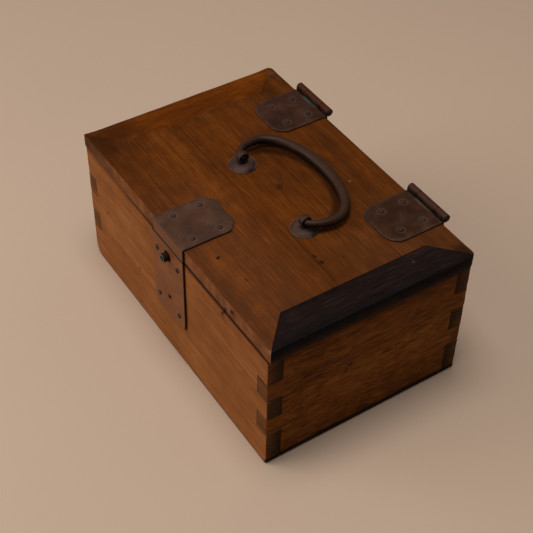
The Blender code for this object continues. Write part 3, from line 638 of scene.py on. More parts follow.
walls = dict(
    footFinger=29.5, endPin=16, middleFinger=18, step=3,
    corner=0.8, cornerUneven=(0.35, 17), rim=0.35, hidden=0.1,  # how round edges are; hidden: in a joint
    feet=dict(front=(2.2, 9), back=(2.2, 2.2)),  # how round the foot's corners are worn, right one first
    footEdge=dict(front=0.35, back=1.6, right=2, left=1), footUneven=(0.1, 70),
    footFade=0.15,  # how much of the front left foot's rounding is left on the inner side
    mortiseSide=1.5, mortiseBehind=2.4, pastCut=5,  # room round button and spring; cuts run on outside
)
frontLook = dict(
    plainWood, dark="6a3c1b", mid="895228", light="a26a3d", pores=0.35, pore="502a10", lineLength=140,
    fine=0.4, endDark="1f0f04", endLight="321d0b", wornAndPaintedLight="905b30", wear=0.3,
    # shades: painted shadow along the top under the lid's edge, strongest to the right; darker towards the
    # foot, and at the foot of the end grain on the right
    shades=((2, 98.8, 101.2, 0.9, 0.8, (-100, 10, 0.35), "1f0a04"), (2, 1.8, 0.3, 0.5, 1, None, dirtAndShade),
            (2, 5.8, 3.4, 0.85, 1.5, (117.6, 119, 0), dirtAndShade)),
    spots=((67.3, -79, 96.5, 2.2, 0.75), (69.8, -79, 101, 3, 0.9), (-93.8, -79, 58.9, 1.6, 0.7),
           (-46.5, -79, 41.8, 1.6, 0.75), (-48.3, -79, 6.8, 1.8, 0.7)),
)
endLook = dict(
    plainWood, grain=1, waver=22, lineWidth=1.6, lineLength=34, dashLength=11, lines=0.75, fine=0.8,
    bands=0.35, blotch=0.4, dark="422205", mid="69390e", light="86511f", pore="261103", pores=0.95,
    endDark="432713", endLight="75492b", wear=0.25, wornAndPaintedLight="6d3f14",
    # shades: painted shadow under the lid's overhanging cap, partly a smoky stain; painted shade growing
    # towards the floor; darker at the foot
    shades=((2, 92, 102, 0.72, 8, None, "1a0d05"), (2, 45, 4, 0.16, 8, None, dirtAndShade),
            (2, 7.4, 4.2, 0.9, 2.5, None, dirtAndShade)),
)
# a near-black worn colour: on the right cap it paints the outer side and rims, a dark stain with painted
# shade
darkLook = dict(
    plainWood, dark="0e0807", mid="1b100e", light="301f1a", pore="0a0605", wornAndPaintedLight="060404", endDark="0c0807",
    endLight="221815", pores=0.5, wear=1,
)


def comb(half, low, high, cuts, depth, proud):
    # up the right side, stepping in or out at every cut, then mirrored down the left side
    play = touch / 2 * np.array([-1, 1, -1, 1]) * (1 if proud else -1)
    v = np.concatenate([[low], np.repeat(np.array(cuts) + play, 2), [high]])
    outer, inner = (half, half - depth) if proud else (half - depth, half)
    u = np.tile([outer, outer, inner, inner], 3)[:10]
    right = np.stack([u, v], -1)
    return np.concatenate([right, right[::-1] * (-1, 1)])


def makeWalls():
    # each wall is a comb's outline carried from its inner to its outer face; the bottom is a plain board
    front, bottom, spring, button = (
        span(n) for n in ("front_wall", "bottom_board", "latch_spring", "push_button")
    )
    low, high = front[0][2], front[1][2]
    depth = front[1][1] - front[0][1] + touch
    cuts = low + np.cumsum([walls[k] for k in ("footFinger", "endPin", "middleFinger", "endPin")])
    past = walls["pastCut"]
    rebate = (bottom[0] - (touch, touch, past), bottom[1] + touch)
    half = (button[1][0] - button[0][0]) / 2 + walls["mortiseSide"]
    mortise = ((-half, front[0][1] - past, spring[0][2] - touch),
               (half, spring[1][1] + walls["mortiseBehind"], high + past))
    kinds = (
        (front[1][0], wood("frontWood", frontLook), "front_wood"),
        (span("right_wall")[1][1], wood("endWood", endLook), "end_wood"),
    )
    for way in ("front", "back", "right", "left"):
        grain = int(way in ("right", "left"))
        reach, finish, slot = kinds[grain]
        proud = grain == 0
        face = np.abs(span(way + "_wall"))[:, 1 - grain].max()
        corners = comb(reach, low, high, cuts, depth, proud)
        feet = np.zeros(len(corners))
        feet[[0, -1]] = walls["feet"].get(way, 0)
        outline = dense(rounded(corners, feet), walls["step"])
        inner = outline
        if way == "front":
            # the worn foot's arc shrinks towards its corner
            tip = np.array([-reach, low])
            onArc = (outline - tip <= walls["feet"][way][1] + close).all(-1, keepdims=True)
            inner = np.where(onArc, tip + (outline - tip) * walls["footFade"], outline)
        u, v = np.abs(outline[:, 0]), outline[:, 1]
        atFoot = v < low + close
        corner = (u > reach - close) | (proud & (u > reach - 8) & ~atFoot & (v < low + 8))
        level = atFoot | (v > high - close)
        # the top rims of front and back get sharper to the left
        rim = walls["rim"] * np.clip(1 + outline[:, 0] * ways[way][0][0] / 110, 0.25, 1)
        rim = np.where(atFoot, walls["footEdge"][way] * uneven(outline, *walls["footUneven"], 4), rim)
        radius = np.where(corner, walls["corner"] * uneven(outline, *walls["cornerUneven"], 3),
                          np.where(level, rim, walls["hidden"]))
        shell = Shell()
        # wear on corners and rims; the seam mark darkens the finger joints, and as painted shade the top
        # rim under the lid and the foot
        board(shell, outline, face - (depth - touch), face, way, radius,
              np.where(level, walls["rim"], walls["hidden"]),
              wear=np.where(corner, 1.0, np.where(level, 0.35, 0.0)),
              seam=np.where(corner, 0.0, np.where(level, 0.35, 0.8)), support=0.3, lowOutline=inner)
        pockets = [mortise, rebate] if way == "front" else [rebate]
        piece(way + "Wall", shell, finish, "box", [way + "_wall"], grain, pockets)
    (x0, y0, z0), (x1, y1, z1) = bottom
    outline = dense(rounded([(x0, y0), (x1, y0), (x1, y1), (x0, y1)], [0.8] * 4, 3), 4.0)
    shell = Shell()
    board(shell, outline, z0, z1, "up", 0.4, 0.4, seam=0.3, support=0.2)
    piece("bottomBoard", shell, wood("bottomWood", darkLook), "box", ["bottom_board"], 0)


# lid

lid = dict(
    step=3, edge=0.8, edgeUneven=(0.15, 26), capEdge=1.6, capUneven=(0.1, 22), capUnder=0.5, mitre=0.06,
    backCorner=4.5, rightOver=1.5, tight=0.03, tipReach=9, support=0.8, pastCut=3,
)
leftCorners = ((-112, -70, 113, 46, 0.42), (-102, 68, 113, 24, 0.1))  # dirt across panel and left cap
lidLook = dict(
    plainWood, waver=4, wornAndPaintedLight="87522f", wear=0.85, bands=0.55, lines=0.35, fine=0.5, pores=0.4,
    dashLength=15, dashWidth=0.7,
    # a ring where the bail lies on the lid: a rub mark with painted shadow under the bow
    rubAndPaintedLight=dict(centre=(3.6, 7.5, 113), reach=(1 / 46, 1 / 31.5, 0), wide=0.13, depth=0.72, fade=(0, 18)),
    hairs=((-17.8, -96, -8, 0.6), (-12, 40, 92, 0.55), (22, -60, 40, 0.4), (-62, -60, -20, 0.5)),
    spots=((37.2, -63.6, 113, 1.7, 0.85), (-0.9, 8, 113, 3.6, 0.5), (68.1, -10.6, 113, 2.2, 0.85),
           (75, -9.4, 113, 1.8, 0.7), (63, -59, 113, 1.8, 0.5), (79.3, -79, 109, 2.4, 0.9),
           (71, -79, 103.8, 2.4, 0.8), *leftCorners, (116, 77, 113, 11, 0.55)),
    # shades: painted shade towards the back; greyer and darker to the right and back, a grey haze at the
    # front, darker at the left end
    shades=((1, 10, 75, 0.14, 25, None, dirtAndShade), (1, -35, 30, 0.28, 25, (20, 95, 0.1), "33251d"),
            (1, -5, -55, 0.07, 25, (-80, 20, 0.1), "6e5547"), (0, -85, -112, 0.25, 25, None, "160a02")),
    chips=((121.3, -78.8, 112.6, 3, 0.6), (20.3, 52.2, 113, 1.3, 0.35), (-114.4, 73.5, 113, 4, 0.1)),
)
capLook = dict(
    plainWood, grain=1, dark="381902", mid="552602", light="723a06", waver=3, wornAndPaintedLight="4a3020", wear=0.7,
    bands=0.3, lines=0.3, fine=0.45, pores=0.35, spots=leftCorners,
)
darkCapLook = dict(
    darkLook, grain=1, bands=0.8, fine=0.7, cloud=0.45, mid="1e1310", light="32211c",
    shades=((0, 105, 119.5, 0.6, 8, None, "0b0809"), (2, 108.5, 104, 0.8, 5, None, "2a150a")),
    chips=((106.1, 40, 113, 1.9, 0.12),),
)


def fromTips(outline, tips):
    # next to 0 at a mitre's tip, then up in a straight line to 1 at tipReach from it
    mirrored = np.abs(outline[:, None] * (1, 0)) + outline[:, None] * (0, 1)
    far = np.linalg.norm(mirrored - tips, axis=-1).min(1)
    return np.clip(far / lid["tipReach"], lid["mitre"], 1)


def makeLid():
    # a panel between two caps that meet it in mitres; the back corners are rounded in plan, half on the
    # panel and half on the caps
    low, high = span("lid_panel")
    halfX, halfY = high[0], high[1]
    innerX = span("lid_right_cap")[0][0] - touch
    innerY = halfY - (halfX - innerX)
    r = lid["backCorner"]
    bend = np.linspace(0, np.pi / 4, 6)
    panelTip = np.stack([halfX - r + r * np.sin(bend), halfY - r + r * np.cos(bend)], -1)
    capTip = panelTip[:, ::-1] + (halfX - halfY) * np.array([1, -1])
    tips = np.array([(halfX, -halfY), panelTip[-1]])
    # beyond the right cap's inner edge the lid is drawn out in a straight line to rightOver
    drawn = np.array([lid["rightOver"] / (halfX - innerX), 0])

    def lidPiece(name, outline, outer, edge, underEdge, seam, ends, finish, node, grain, pockets=()):
        # worn round along its outer rims, less so near the mitres' tips, and sharp along the mitres
        narrow = fromTips(outline, ends)
        outline = outline + np.clip(outline[:, :1] - innerX, 0, None) * drawn
        shell = Shell()
        board(shell, outline, low[2], high[2], "up", np.where(outer, edge * narrow, lid["mitre"]),
              np.where(outer, underEdge * narrow, lid["mitre"]), wear=outer, lowWearAndPaintedLight=outer,
              seam=np.where(outer, 0.0, seam), support=lid["support"] * narrow)
        piece(name, shell, finish, "lid", [node], grain, pockets)

    right = np.concatenate([[(halfX, -halfY), (innerX, -innerY), (innerX, innerY)], panelTip[::-1]])
    outline = dense(np.concatenate([right, right[::-1] * (-1, 1)]), lid["step"])
    x, y = outline[:, 0], outline[:, 1]
    onRim = (np.abs(y) > halfY - close) | ((y > halfY - 0.7) & (np.abs(x) > halfX - r))
    joint = 0.12 + 0.38 * np.clip((x + 90) / 110, 0, 1)  # the underside's edge is sharper on the left
    strike = span("lid_strike")
    pocket = (strike[0] - (touch, touch, lid["pastCut"]), strike[1] + touch)
    edge = lid["edge"] * uneven(outline, *lid["edgeUneven"], 5)
    lidPiece("lidPanel", outline, onRim, edge, joint, np.where(x < 0, 0.0, 1.0), tips,
             wood("lidWood", lidLook), "lid_panel", 0, [pocket])

    # the left cap fits tight, the right one has shrunk from the panel
    for name, side, look, slot, node, crack in (
        ("leftCap", -1, capLook, "lid_wood", "lid_left_cap", lid["tight"]),
        ("rightCap", 1, darkCapLook, "dark_wood", "lid_right_cap", touch),
    ):
        gap = crack * math.sqrt(2)
        inside = innerX + crack
        corners = [(inside, innerY - gap + crack), (inside, -innerY + gap - crack), (halfX, -halfY + gap)]
        outline = dense(np.concatenate([corners, capTip - (0, gap)]), lid["step"]) * (side, 1)
        if side < 0:
            outline = outline[::-1]
        outer = np.abs(outline[:, 0]) > halfX - 0.8
        edge = lid["capEdge"] * uneven(outline, *lid["capUneven"], 6)
        lidPiece(name, outline, outer, edge, lid["capUnder"], 0.6 * (side > 0),
                 tips - (0, gap) * np.sign(tips[:, 1:]), wood(name + "Wood", look), node, 1)


# nails

nail = dict(head=1.75, rise=0.95, rim=0.1, under=0.03, shank=0.8, deep=4, point=1, proud=1, lean=4)
nailHalo = (3.2, 0.3)  # size and depth of the ring that a nail leaves on sheet metal
ironLook = dict(
    seed=21, dark="130c09", mid="20150f", light="33241b", bloom="2d1b14", bloomShare=0.4, wear=0.45,
    wornAndPaintedLight="5c4d45", rough=0.5, metal=0.15, bump=0.35, shine=0.2,
)


def nailHeads(name, finish, nodes, way, body, seed, wide=1.0):
    # a low dome with a rolled rim over a pointed shank, on every nail's place, each leaning a little
    head, shank, deep, under = nail["head"] * wide, nail["shank"], nail["deep"], nail["under"]
    crown = dome(head, nail["rim"], nail["rise"], 7)
    stem = [(head - nail["rim"], -under), (shank, -under), (shank, -deep), (0, -deep - nail["point"])]
    profile = np.concatenate([crown, stem])
    wear = np.concatenate([np.linspace(0.9, 0.1, len(crown)), np.zeros(len(stem))])
    up = np.array(ways[way][2], float)
    draw = np.random.default_rng(seed)
    shell = Shell()
    for node in nodes:
        low, high = span(node)
        top = np.where(up > 0, high, low)
        seat = np.where(np.abs(up) > 0.5, top - up * (nail["proud"] + touch), middle(node))
        lean = [Matrix.Rotation(math.radians(nail["lean"]) * draw.uniform(-1, 1), 3, k) for k in "XY"]
        turned(shell, profile, seat, way, 20, 0.02, int(draw.integers(1000)), lean[0] @ lean[1], wear)
    piece(name, shell, finish, body, nodes)


def nailNodes(stem, count=4):
    return [f"{stem}_nail_{k + 1}" for k in range(count)]


# hinges

hinge = dict(
    corner=11, rim=0.5, knuckle=9.5, knuckleGap=0.3, curl=2.3, foldIn=0.5, plateDrop=3.5,
    bandEdge=dict(edge=0.2, wear=0.6, support=0.12, steps=2), pin=1.3, pinHead=2.2, pinPlay=0.15,
    # a painted shadow line in the gap where each leaf turns up into its knuckle
    gapShade=(0.6, 0.85, "0c0705"),
)
hingeLook = dict(
    seed=41, dark="24130b", mid="351d12", light="462b1d", bloom="3a2822", bloomShare=0.5, wear=0.5,
    ring="54433a", rough=0.6, metal=0.1, bump=0.3, shine=0.1,
)
knuckleFrom = (114.9, 115.7)  # the knuckles have a tone of their own above this
hingeSides = dict(
    left=dict(hingeLook, wornAndPaintedLight="4a362e", verdigris=(2.2, 0.6, "38463e"), fold=(*knuckleFrom, 0.8, "431b03")),
    right=dict(hingeLook, seed=53, mid="31190b", bloom="352016", wornAndPaintedLight="4e3b31",
               verdigris=(1.3, 0.5, "4a4a40"), fold=(*knuckleFrom, 0.6, "3d2115")),
)
hingeNailLook = dict(
    ironLook, seed=61, dark="1b0f09", mid="2d1910", light="47301f", bloom="3a2013", wear=0.25,
    wornAndPaintedLight="57402f", shine=0.14,
)


def makeHinges(iron):
    # on each side a lid leaf with the middle knuckle, a back leaf with the outer two, a pin and nails
    axis = pivot("lid_hinge")
    brown = patina("hingeNailIron", hingeNailLook)
    top = span("lid_plate")[1][2]
    fold = span("lid_panel")[1][1] - hinge["foldIn"]
    wide = hinge["knuckle"]
    notch = wide + hinge["knuckleGap"]

    def knuckle(shell, lead, start, end, low, high):
        # the leaf's lead, then a turn round the pin: c cos t, c sin t
        turn = np.radians(np.linspace(start, end, 40))
        curl = axis[1:] + hinge["curl"] * np.stack([np.cos(turn), np.sin(turn)], -1)
        band(shell, np.concatenate([lead, curl]), sheet, low, high, **hinge["bandEdge"])

    for side, look in hingeSides.items():
        low, high = span(f"{side}_lid_hinge_leaf")
        x = (low[0] + high[0]) / 2
        half = (high[0] - low[0]) / 2
        lidNails = nailNodes(f"{side}_lid_leaf")
        nails = [middle(n)[:2] for n in lidNails]
        copper = patina(f"{side}HingeCopper", dict(
            look, halos=[(*at, top, *nailHalo) for at in nails],
            # verdigris along the fold, and the painted shadow line in the gap at the knuckles
            strips=[(x - wide, x + wide - 3, fold - 0.6, *look["verdigris"]),
                    (x - half, x + half, fold + 0.7, *hinge["gapShade"])],
        ))

        shell = Shell()
        plate(shell, tab(x, half, fold, low[1], hinge["corner"]), top - sheet - touch, top, "up",
              radius=hinge["rim"], dents=nails, seed=look["seed"])
        # the middle of the leaf runs back under the pin, round it and home again
        level = (top - sheet + top) / 2 - 0.04
        lead = [(fold - 3, level), (fold - 1.5, level), (fold, level), (fold + 1.5, level - 0.1)]
        knuckle(shell, lead, -90, 225, x - wide, x + wide)
        piece(f"{side}LidLeaf", shell, copper, "lid", [f"{side}_lid_hinge_leaf"])

        wallY, foot = span(f"{side}_back_hinge_leaf")[0][1:]
        plateTop = axis[2] - hinge["plateDrop"]
        backNails = nailNodes(f"{side}_back_leaf")
        dents = [middle(n)[[0, 2]] * (-1, 1) for n in backNails]
        shell = Shell()
        plate(shell, tab(-x, half, plateTop, foot, hinge["corner"]), wallY, wallY + sheet, "back",
              dents=dents, seed=look["seed"] + 5)
        level = wallY + sheet / 2 - 0.04
        lead = [(level, plateTop - 4), (level, plateTop - 2), (level, plateTop)]
        for a, b in ((x - half, x - notch), (x + notch, x + half)):
            knuckle(shell, lead, 180, -135, a, b)
        piece(f"{side}BackLeaf", shell, copper, "box", [f"{side}_back_hinge_leaf"])

        reach = half + hinge["pinPlay"]
        end = dome(hinge["pinHead"], reach, span(f"{side}_hinge_pin")[1][0] - x - reach)
        profile = np.concatenate([end, [(hinge["pin"], reach)]])
        profile = np.concatenate([profile, profile[::-1] * (1, -1)])
        shell = Shell()
        turned(shell, profile, (x, *axis[1:]), "right", 24, 0.02)
        piece(f"{side}Pin", shell, iron, "box", [f"{side}_hinge_pin"])
        nailHeads(f"{side}LidLeafNails", brown, lidNails, "up", "lid", 3)
        nailHeads(f"{side}BackLeafNails", brown, backNails, "back", "box", 4)


# handle

handle = dict(
    posts=76.5, flare=10.5, lean=-1.7, reach=43.5, shoulder=17.4, bowFull=0.52, shoulderFull=0.60,
    # the last entry points to the upper left, where the bail is worn and painted lighter as a highlight,
    # with painted shade beneath
    thick=3.7, mid=3.2, thin=2.2, tipPast=1.4, bulge=0.3, uneven=(9, 31, 0.05), rubAndPaintedLight=(-0.55, 0, 0.8),
)
# its worn colour paints the bail's upper left lighter: wear and a painted highlight
handleLook = dict(
    ironLook, seed=71, dark="140904", mid="1f1006", light="2e190c", bloom="28160c", bloomShare=0.5,
    wornAndPaintedLight="361f11", wear=1, patchy=0.8, metal=0.1, shine=0.17,
)
eye = dict(strap=1.3, wide=4.4, clinch=8.6, bend=1.6, ease=0.7)
# the worn colour lightens the eyes' rounded rims: wear and a painted highlight
eyeLook = dict(handleLook, seed=77, dark="130b07", mid="20140c", light="38251b", wear=0.6, wornAndPaintedLight="3c281d")
rose = dict(
    radius=10, bore=3, high=2.2, crown=(4.4, 1.7), drop=1.3, under=0.05, slotPlay=0.15,
    rim=((1.25, 0.4), (0.85, 0.8), (0.3, 0.8), (0, 0.5), (0, 0.05)),  # in from the edge, and height
    rimWear=(0, 1, 1, 1, 0.3, 0),
)
roseLook = dict(
    ironLook, seed=83, dark="2b1b15", mid="3c261f", light="4f372e", bloom="4a2c1a", bloomShare=0.5,
    wear=0.5, wornAndPaintedLight="5f4a40", rough=0.6,
)


def rod(shell, path, radius, normal, rubAndPaintedLight, steps=28):
    # circles square to a flat path, r (cos a normal + sin a across); the ends swell on by bulge r sin a
    # while their radius falls as r cos a; wear and a painted highlight grow with the slope towards the
    # upper left, and the underside is left dark as painted shade
    bulge = handle["bulge"]
    along = unit(np.gradient(path, axis=0))
    bend = quarter(7)[1:-1, None]
    swell, shrink = bulge * np.sin(bend), np.cos(bend)[:, 0]
    spine = np.concatenate([
        (path[0] - along[0] * radius[0] * swell)[::-1], path, path[-1] + along[-1] * radius[-1] * swell,
    ])
    size = np.concatenate([(radius[0] * shrink)[::-1], radius, radius[-1] * shrink])
    ends = len(bend)
    heading = np.concatenate([np.repeat(along[:1], ends, 0), along, np.repeat(along[-1:], ends, 0)])
    across = np.cross(heading, normal)
    a = np.linspace(0, 2 * np.pi, steps, endpoint=False)[None, :, None]
    out = np.cos(a) * normal + np.sin(a) * across[:, None]
    points = spine[:, None] + size[:, None, None] * out
    swellSize, seed, depth = handle["uneven"]
    points = points + ripple(points, swellSize, seed)[..., None] * depth * out
    numbers = shell.put(points, np.clip(0.15 + out @ unit(np.array(rubAndPaintedLight)), 0, 1))
    shell.skin(numbers)
    shell.pole(numbers[0], path[0] - along[0] * radius[0] * bulge)
    shell.pole(numbers[-1], path[-1] + along[-1] * radius[-1] * bulge)


def makeBail():
    # a Bezier from one turned-in end out to the shoulder, over the bow and home on the other side
    at = pivot("handle_swing")
    post = handle["posts"] / 2
    lean, reach, shoulder = handle["lean"], handle["reach"], handle["shoulder"]
    bow = (post + handle["flare"]) * handle["bowFull"]

    def half(way):
        # knots from a turned-in end out to the widest place
        tip = way * (post - handle["tipPast"])
        start = way * (post + eye["wide"] / 2)
        wide = way * (post + handle["flare"]) + lean
        return [
            ((tip, 0), (tip, 0), (start, 0)),
            ((start, 0), (tip, 0), ((start + wide) / 2, 0)),
            ((wide, shoulder), (wide, shoulder / 2),
             (wide, shoulder + (reach - shoulder) * handle["shoulderFull"])),
        ]

    other = [(p, b, a) for p, a, b in half(1)[::-1]]
    knots = half(-1) + [((lean, reach), (lean - bow, reach), (lean + bow, reach))] + other
    steps = 26
    # it lies back until the bow rests on the lid
    drop = math.asin((at[2] - lidTop - touch - handle["thick"]) / reach)
    lay = np.array([[1, 0, 0], [0, math.cos(drop), -math.sin(drop)]])
    path = bezier(knots, steps) @ lay + at
    sizes = [handle[k] for k in ("thin", "thin", "mid", "thick", "mid", "thin", "thin")]
    radius = np.interp(np.arange(len(path)), np.arange(len(knots)) * steps, sizes)
    shell = Shell()
    rod(shell, path, radius, np.array([0, math.sin(drop), math.cos(drop)]), handle["rubAndPaintedLight"])
    piece("bail", shell, patina("handleIron", handleLook), "bail", ["handle"])


def makeEyes():
    # a strip from one clinched leg up through the lid, round the bail's end and down to the other leg
    at = pivot("handle_swing")
    eyeIron = patina("eyeIron", eyeLook)
    t = eye["strap"]
    leg = (t + touch) / 2
    out, bent, eased = (leg + eye[k] for k in ("clinch", "bend", "ease"))
    neck = lidTop + rose["high"] + touch
    for side, way in (("left", -1), ("right", 1)):
        x = at[0] + way * handle["posts"] / 2
        low, high = span(f"{side}_handle_eye")
        ring = high[2] - at[2] - t / 2
        under = low[2] + t / 2
        k = 0.55 * ring
        halfLoop = [
            ((out, under), (out, under), (bent, under)),
            ((bent, under), (out, under), (eased, under)),
            ((leg, under + eye["bend"]), (leg, under + eye["ease"]), (leg, neck)),
            ((leg, neck), (leg, under + eye["bend"]), (leg, neck + k / 2)),
            ((ring, at[2]), (ring, at[2] - k), (ring, at[2] + k)),
        ]
        otherLoop = [tuple((-y, z) for y, z in (p, b, a)) for p, a, b in halfLoop[::-1]]
        knots = halfLoop + [((0, at[2] + ring), (k, at[2] + ring), (-k, at[2] + ring))] + otherLoop
        path = bezier(knots, 12) + (at[1], 0)
        shell = Shell()
        half = eye["wide"] / 2
        band(shell, path, t, x - half, x + half, edge=0.35, wear=0.8, support=0.1, steps=3)
        piece(f"{side}Eye", shell, eyeIron, "lid", [f"{side}_handle_eye"])


def makeRoses():
    # a crown that falls as a^1.7 from its shoulder to a rolled rim, spun round a slot for the eye
    at = pivot("handle_swing")
    post = handle["posts"] / 2
    # each rose gets a painted shadow along its right edge
    roseShadows = [(at[0] + way * post + 10.8, at[1] + 2, lidTop + 0.5, 4.2, 0.85, "0d0806") for way in (-1, 1)]
    roseIron = patina("roseIron", dict(roseLook, tintsAndPaintedLight=roseShadows))
    r, bore, high, under = (rose[k] for k in ("radius", "bore", "high", "under"))
    start, groove = rose["crown"]
    a = np.linspace(0, 1, 9)
    crown = np.stack([start + (r - groove - start) * a, high - rose["drop"] * a ** 1.7], -1)
    rim = [(r - inwards, up) for inwards, up in rose["rim"]]
    profile = np.concatenate([[(bore, high)], crown, rim, [(bore, under)]])
    wear = np.concatenate([np.full(len(crown) + 1, 0.1), rose["rimWear"]])
    slot = (eye["wide"] / 2 + rose["slotPlay"], eye["strap"] + touch)
    for side, way in (("left", -1), ("right", 1)):
        shell = Shell()
        turned(shell, profile, (at[0] + way * post, at[1], lidTop), "up", 56, 0.006, 5, None, wear, slot)
        piece(f"{side}Rose", shell, roseIron, "lid", [f"{side}_handle_rose"])


# catch

sideShadow = "100907"
rimShadow = "1a0e09"
lidPlate = dict(clip=6.5, bend=1.4, swell=(0.07, 28), dent=0.14, wearReach=1.1, soften=0.25)
lidPlateLook = dict(
    seed=101, dark="352218", mid="452c20", light="543829", bloom="4b2a1d", bloomShare=0.35, wear=0.8,
    wornAndPaintedLight="2f221b", ring="55433a", fold=(113.9, 112.9, 1, "71472e"), rough=0.62, metal=0.1, bump=0.3,
    shine=0.12,
)


def makeLidPlate(iron):
    # a net of points up the lid's edge, round the bend and back over the lid to its clipped corners;
    # a second net lies a sheet behind it, and a rim joins the two
    low, high = span("lid_plate")
    x = (low[0] + high[0]) / 2
    half = (high[0] - low[0]) / 2
    face, top, rear, foot = low[1], high[2], high[1], low[2]
    r = lidPlate["bend"]
    turn = quarter(9)
    bend = np.stack([face + r - r * np.cos(turn), top - r + r * np.sin(turn)], -1)
    up = np.stack([np.full(5, face), np.linspace(foot, top - r, 6)[:-1]], -1)
    over = np.stack([np.linspace(face + r, rear, 30)[1:], np.full(29, top)], -1)
    path = np.concatenate([up, bend, over])
    clip = np.clip(path[:, 0] - (rear - lidPlate["clip"]), 0, lidPlate["clip"])
    s = np.linspace(-1, 1, 29)
    grid = np.dstack(np.broadcast_arrays(x + (half - clip)[:, None] * s, path[:, :1], path[:, 1:]))
    nails = nailNodes("lid_plate")
    dents = [middle(n)[:2] for n in nails]
    swell, swellSize = lidPlate["swell"]
    dip = dented(swell * ripple(grid, swellSize, 9), grid[..., :2], dents, lidPlate["dent"])
    outward = aside(unit(np.gradient(path, axis=0)))
    normal = np.pad(outward, ((0, 0), (1, 0)))[:, None]
    outer = grid + normal * (dip * np.linspace(0, 1, len(path))[:, None] ** 0.5)[..., None]
    inner = outer - normal * (sheet + 0.8 * touch)
    sideGap = (1 - np.abs(s)) * half
    endGap = np.minimum(np.abs(path[:, 1] - foot) + (path[:, 0] - face), rear - path[:, 0])
    wear = np.exp(-np.minimum(sideGap[None], endGap[:, None]) / lidPlate["wearReach"])
    shell = Shell()
    nets = [shell.put(side, wear) for side in (outer, inner)]
    for net in nets:
        squares = np.stack([net[:-1, :-1], net[:-1, 1:], net[1:, 1:], net[1:, :-1]], -1)
        shell.faces += squares.reshape(-1, 4).tolist()
    rims = [np.concatenate([n[0, :-1], n[:-1, -1], n[-1, :0:-1], n[:0:-1, 0]]) for n in nets]
    shell.skin(np.stack(rims))
    look = dict(lidPlateLook, halos=[(*at, top, *nailHalo) for at in dents],
                rims=((2, foot, 0.8, 0.85, top, rimShadow), (0, x + half, 0.6, 0.9, top - 0.6, sideShadow)))
    cover = piece("lidPlate", shell, patina("lidPlateCopper", look), "lid", ["lid_plate"])
    soften = cover.modifiers.new("soften", "BEVEL")
    soften.width = lidPlate["soften"] * mm
    soften.segments = 2
    soften.limit_method = "ANGLE"
    soften.angle_limit = math.radians(50)
    nailHeads("lidPlateNails", iron, nails, "up", "lid", 5)


lockPlate = dict(corner=5, hole=4.2, lift=0.9, liftHigh=14, nailWide=1.2)
lockPlateLook = dict(
    seed=121, dark="643819", mid="75421e", light="885229", bloom="713c1a", bloomShare=0.4, wear=0.15,
    wornAndPaintedLight="5a3524", ring="8f6848", rough=0.55, metal=0.1, bump=0.25, shine=0.2,
    # an orange patch right of the button: the copper inside its hole, painted bright as if lit
    tintsAndPaintedLight=((4.8, -80.5, 93.6, 3.2, 0.9, "8a4014"),),
)


def makeLockPlate(iron):
    # a flat plate with a hole for the button and one corner lifted
    low, high = span("lock_plate")
    half = (high[0] - low[0]) / 2
    nails = nailNodes("lock_plate")
    dents = [middle(n)[[0, 2]] for n in nails]

    def lifted(uv):
        # the foot's right corner stands off the wall: a square law from a slanting line
        rise = lockPlate["liftHigh"]
        past = np.clip((uv[..., 0] / half + (low[2] + rise - uv[..., 1]) / rise - 0.8) / 1.2, 0, 1)
        return lockPlate["lift"] * past ** 2

    shell = Shell()
    plate(shell, tab(0, half, high[2], low[2], lockPlate["corner"]), -high[1], -low[1], "front",
          (middle("push_button")[[0, 2]], lockPlate["hole"]), dents=dents, seed=17, lift=lifted)
    top = span("lid_plate")[1][2]
    look = dict(lockPlateLook, halos=[(u, low[1], v, 3.0, 0.25) for u, v in dents],
                rims=((2, high[2], 0.9, 0.85, top, rimShadow), (0, half, 0.6, 0.95, top, sideShadow)))
    piece("lockPlate", shell, patina("lockPlateCopper", look), "box", ["lock_plate"])
    nailHeads("lockPlateNails", iron, nails, "front", "box", 6, lockPlate["nailWide"])


pushButton = dict(radius=3.2, dish=0.6, flange=4.9, flangeThick=1)
# the worn colour paints the light ring round the button's lip: a painted highlight with some wear
buttonLook = dict(
    ironLook, seed=131, dark="070504", mid="0d0907", light="1a1210", wear=1, patchy=0.7, wornAndPaintedLight="75675f",
    rough=0.7, shine=0.08,
)
rivet = dict(tail=1.4, tailThick=0.7, lift=0.05)
springLook = dict(
    ironLook, seed=141, dark="4a4744", mid="65615c", light="827d76", bloom="6a5442", metal=0.9, rough=0.35,
)


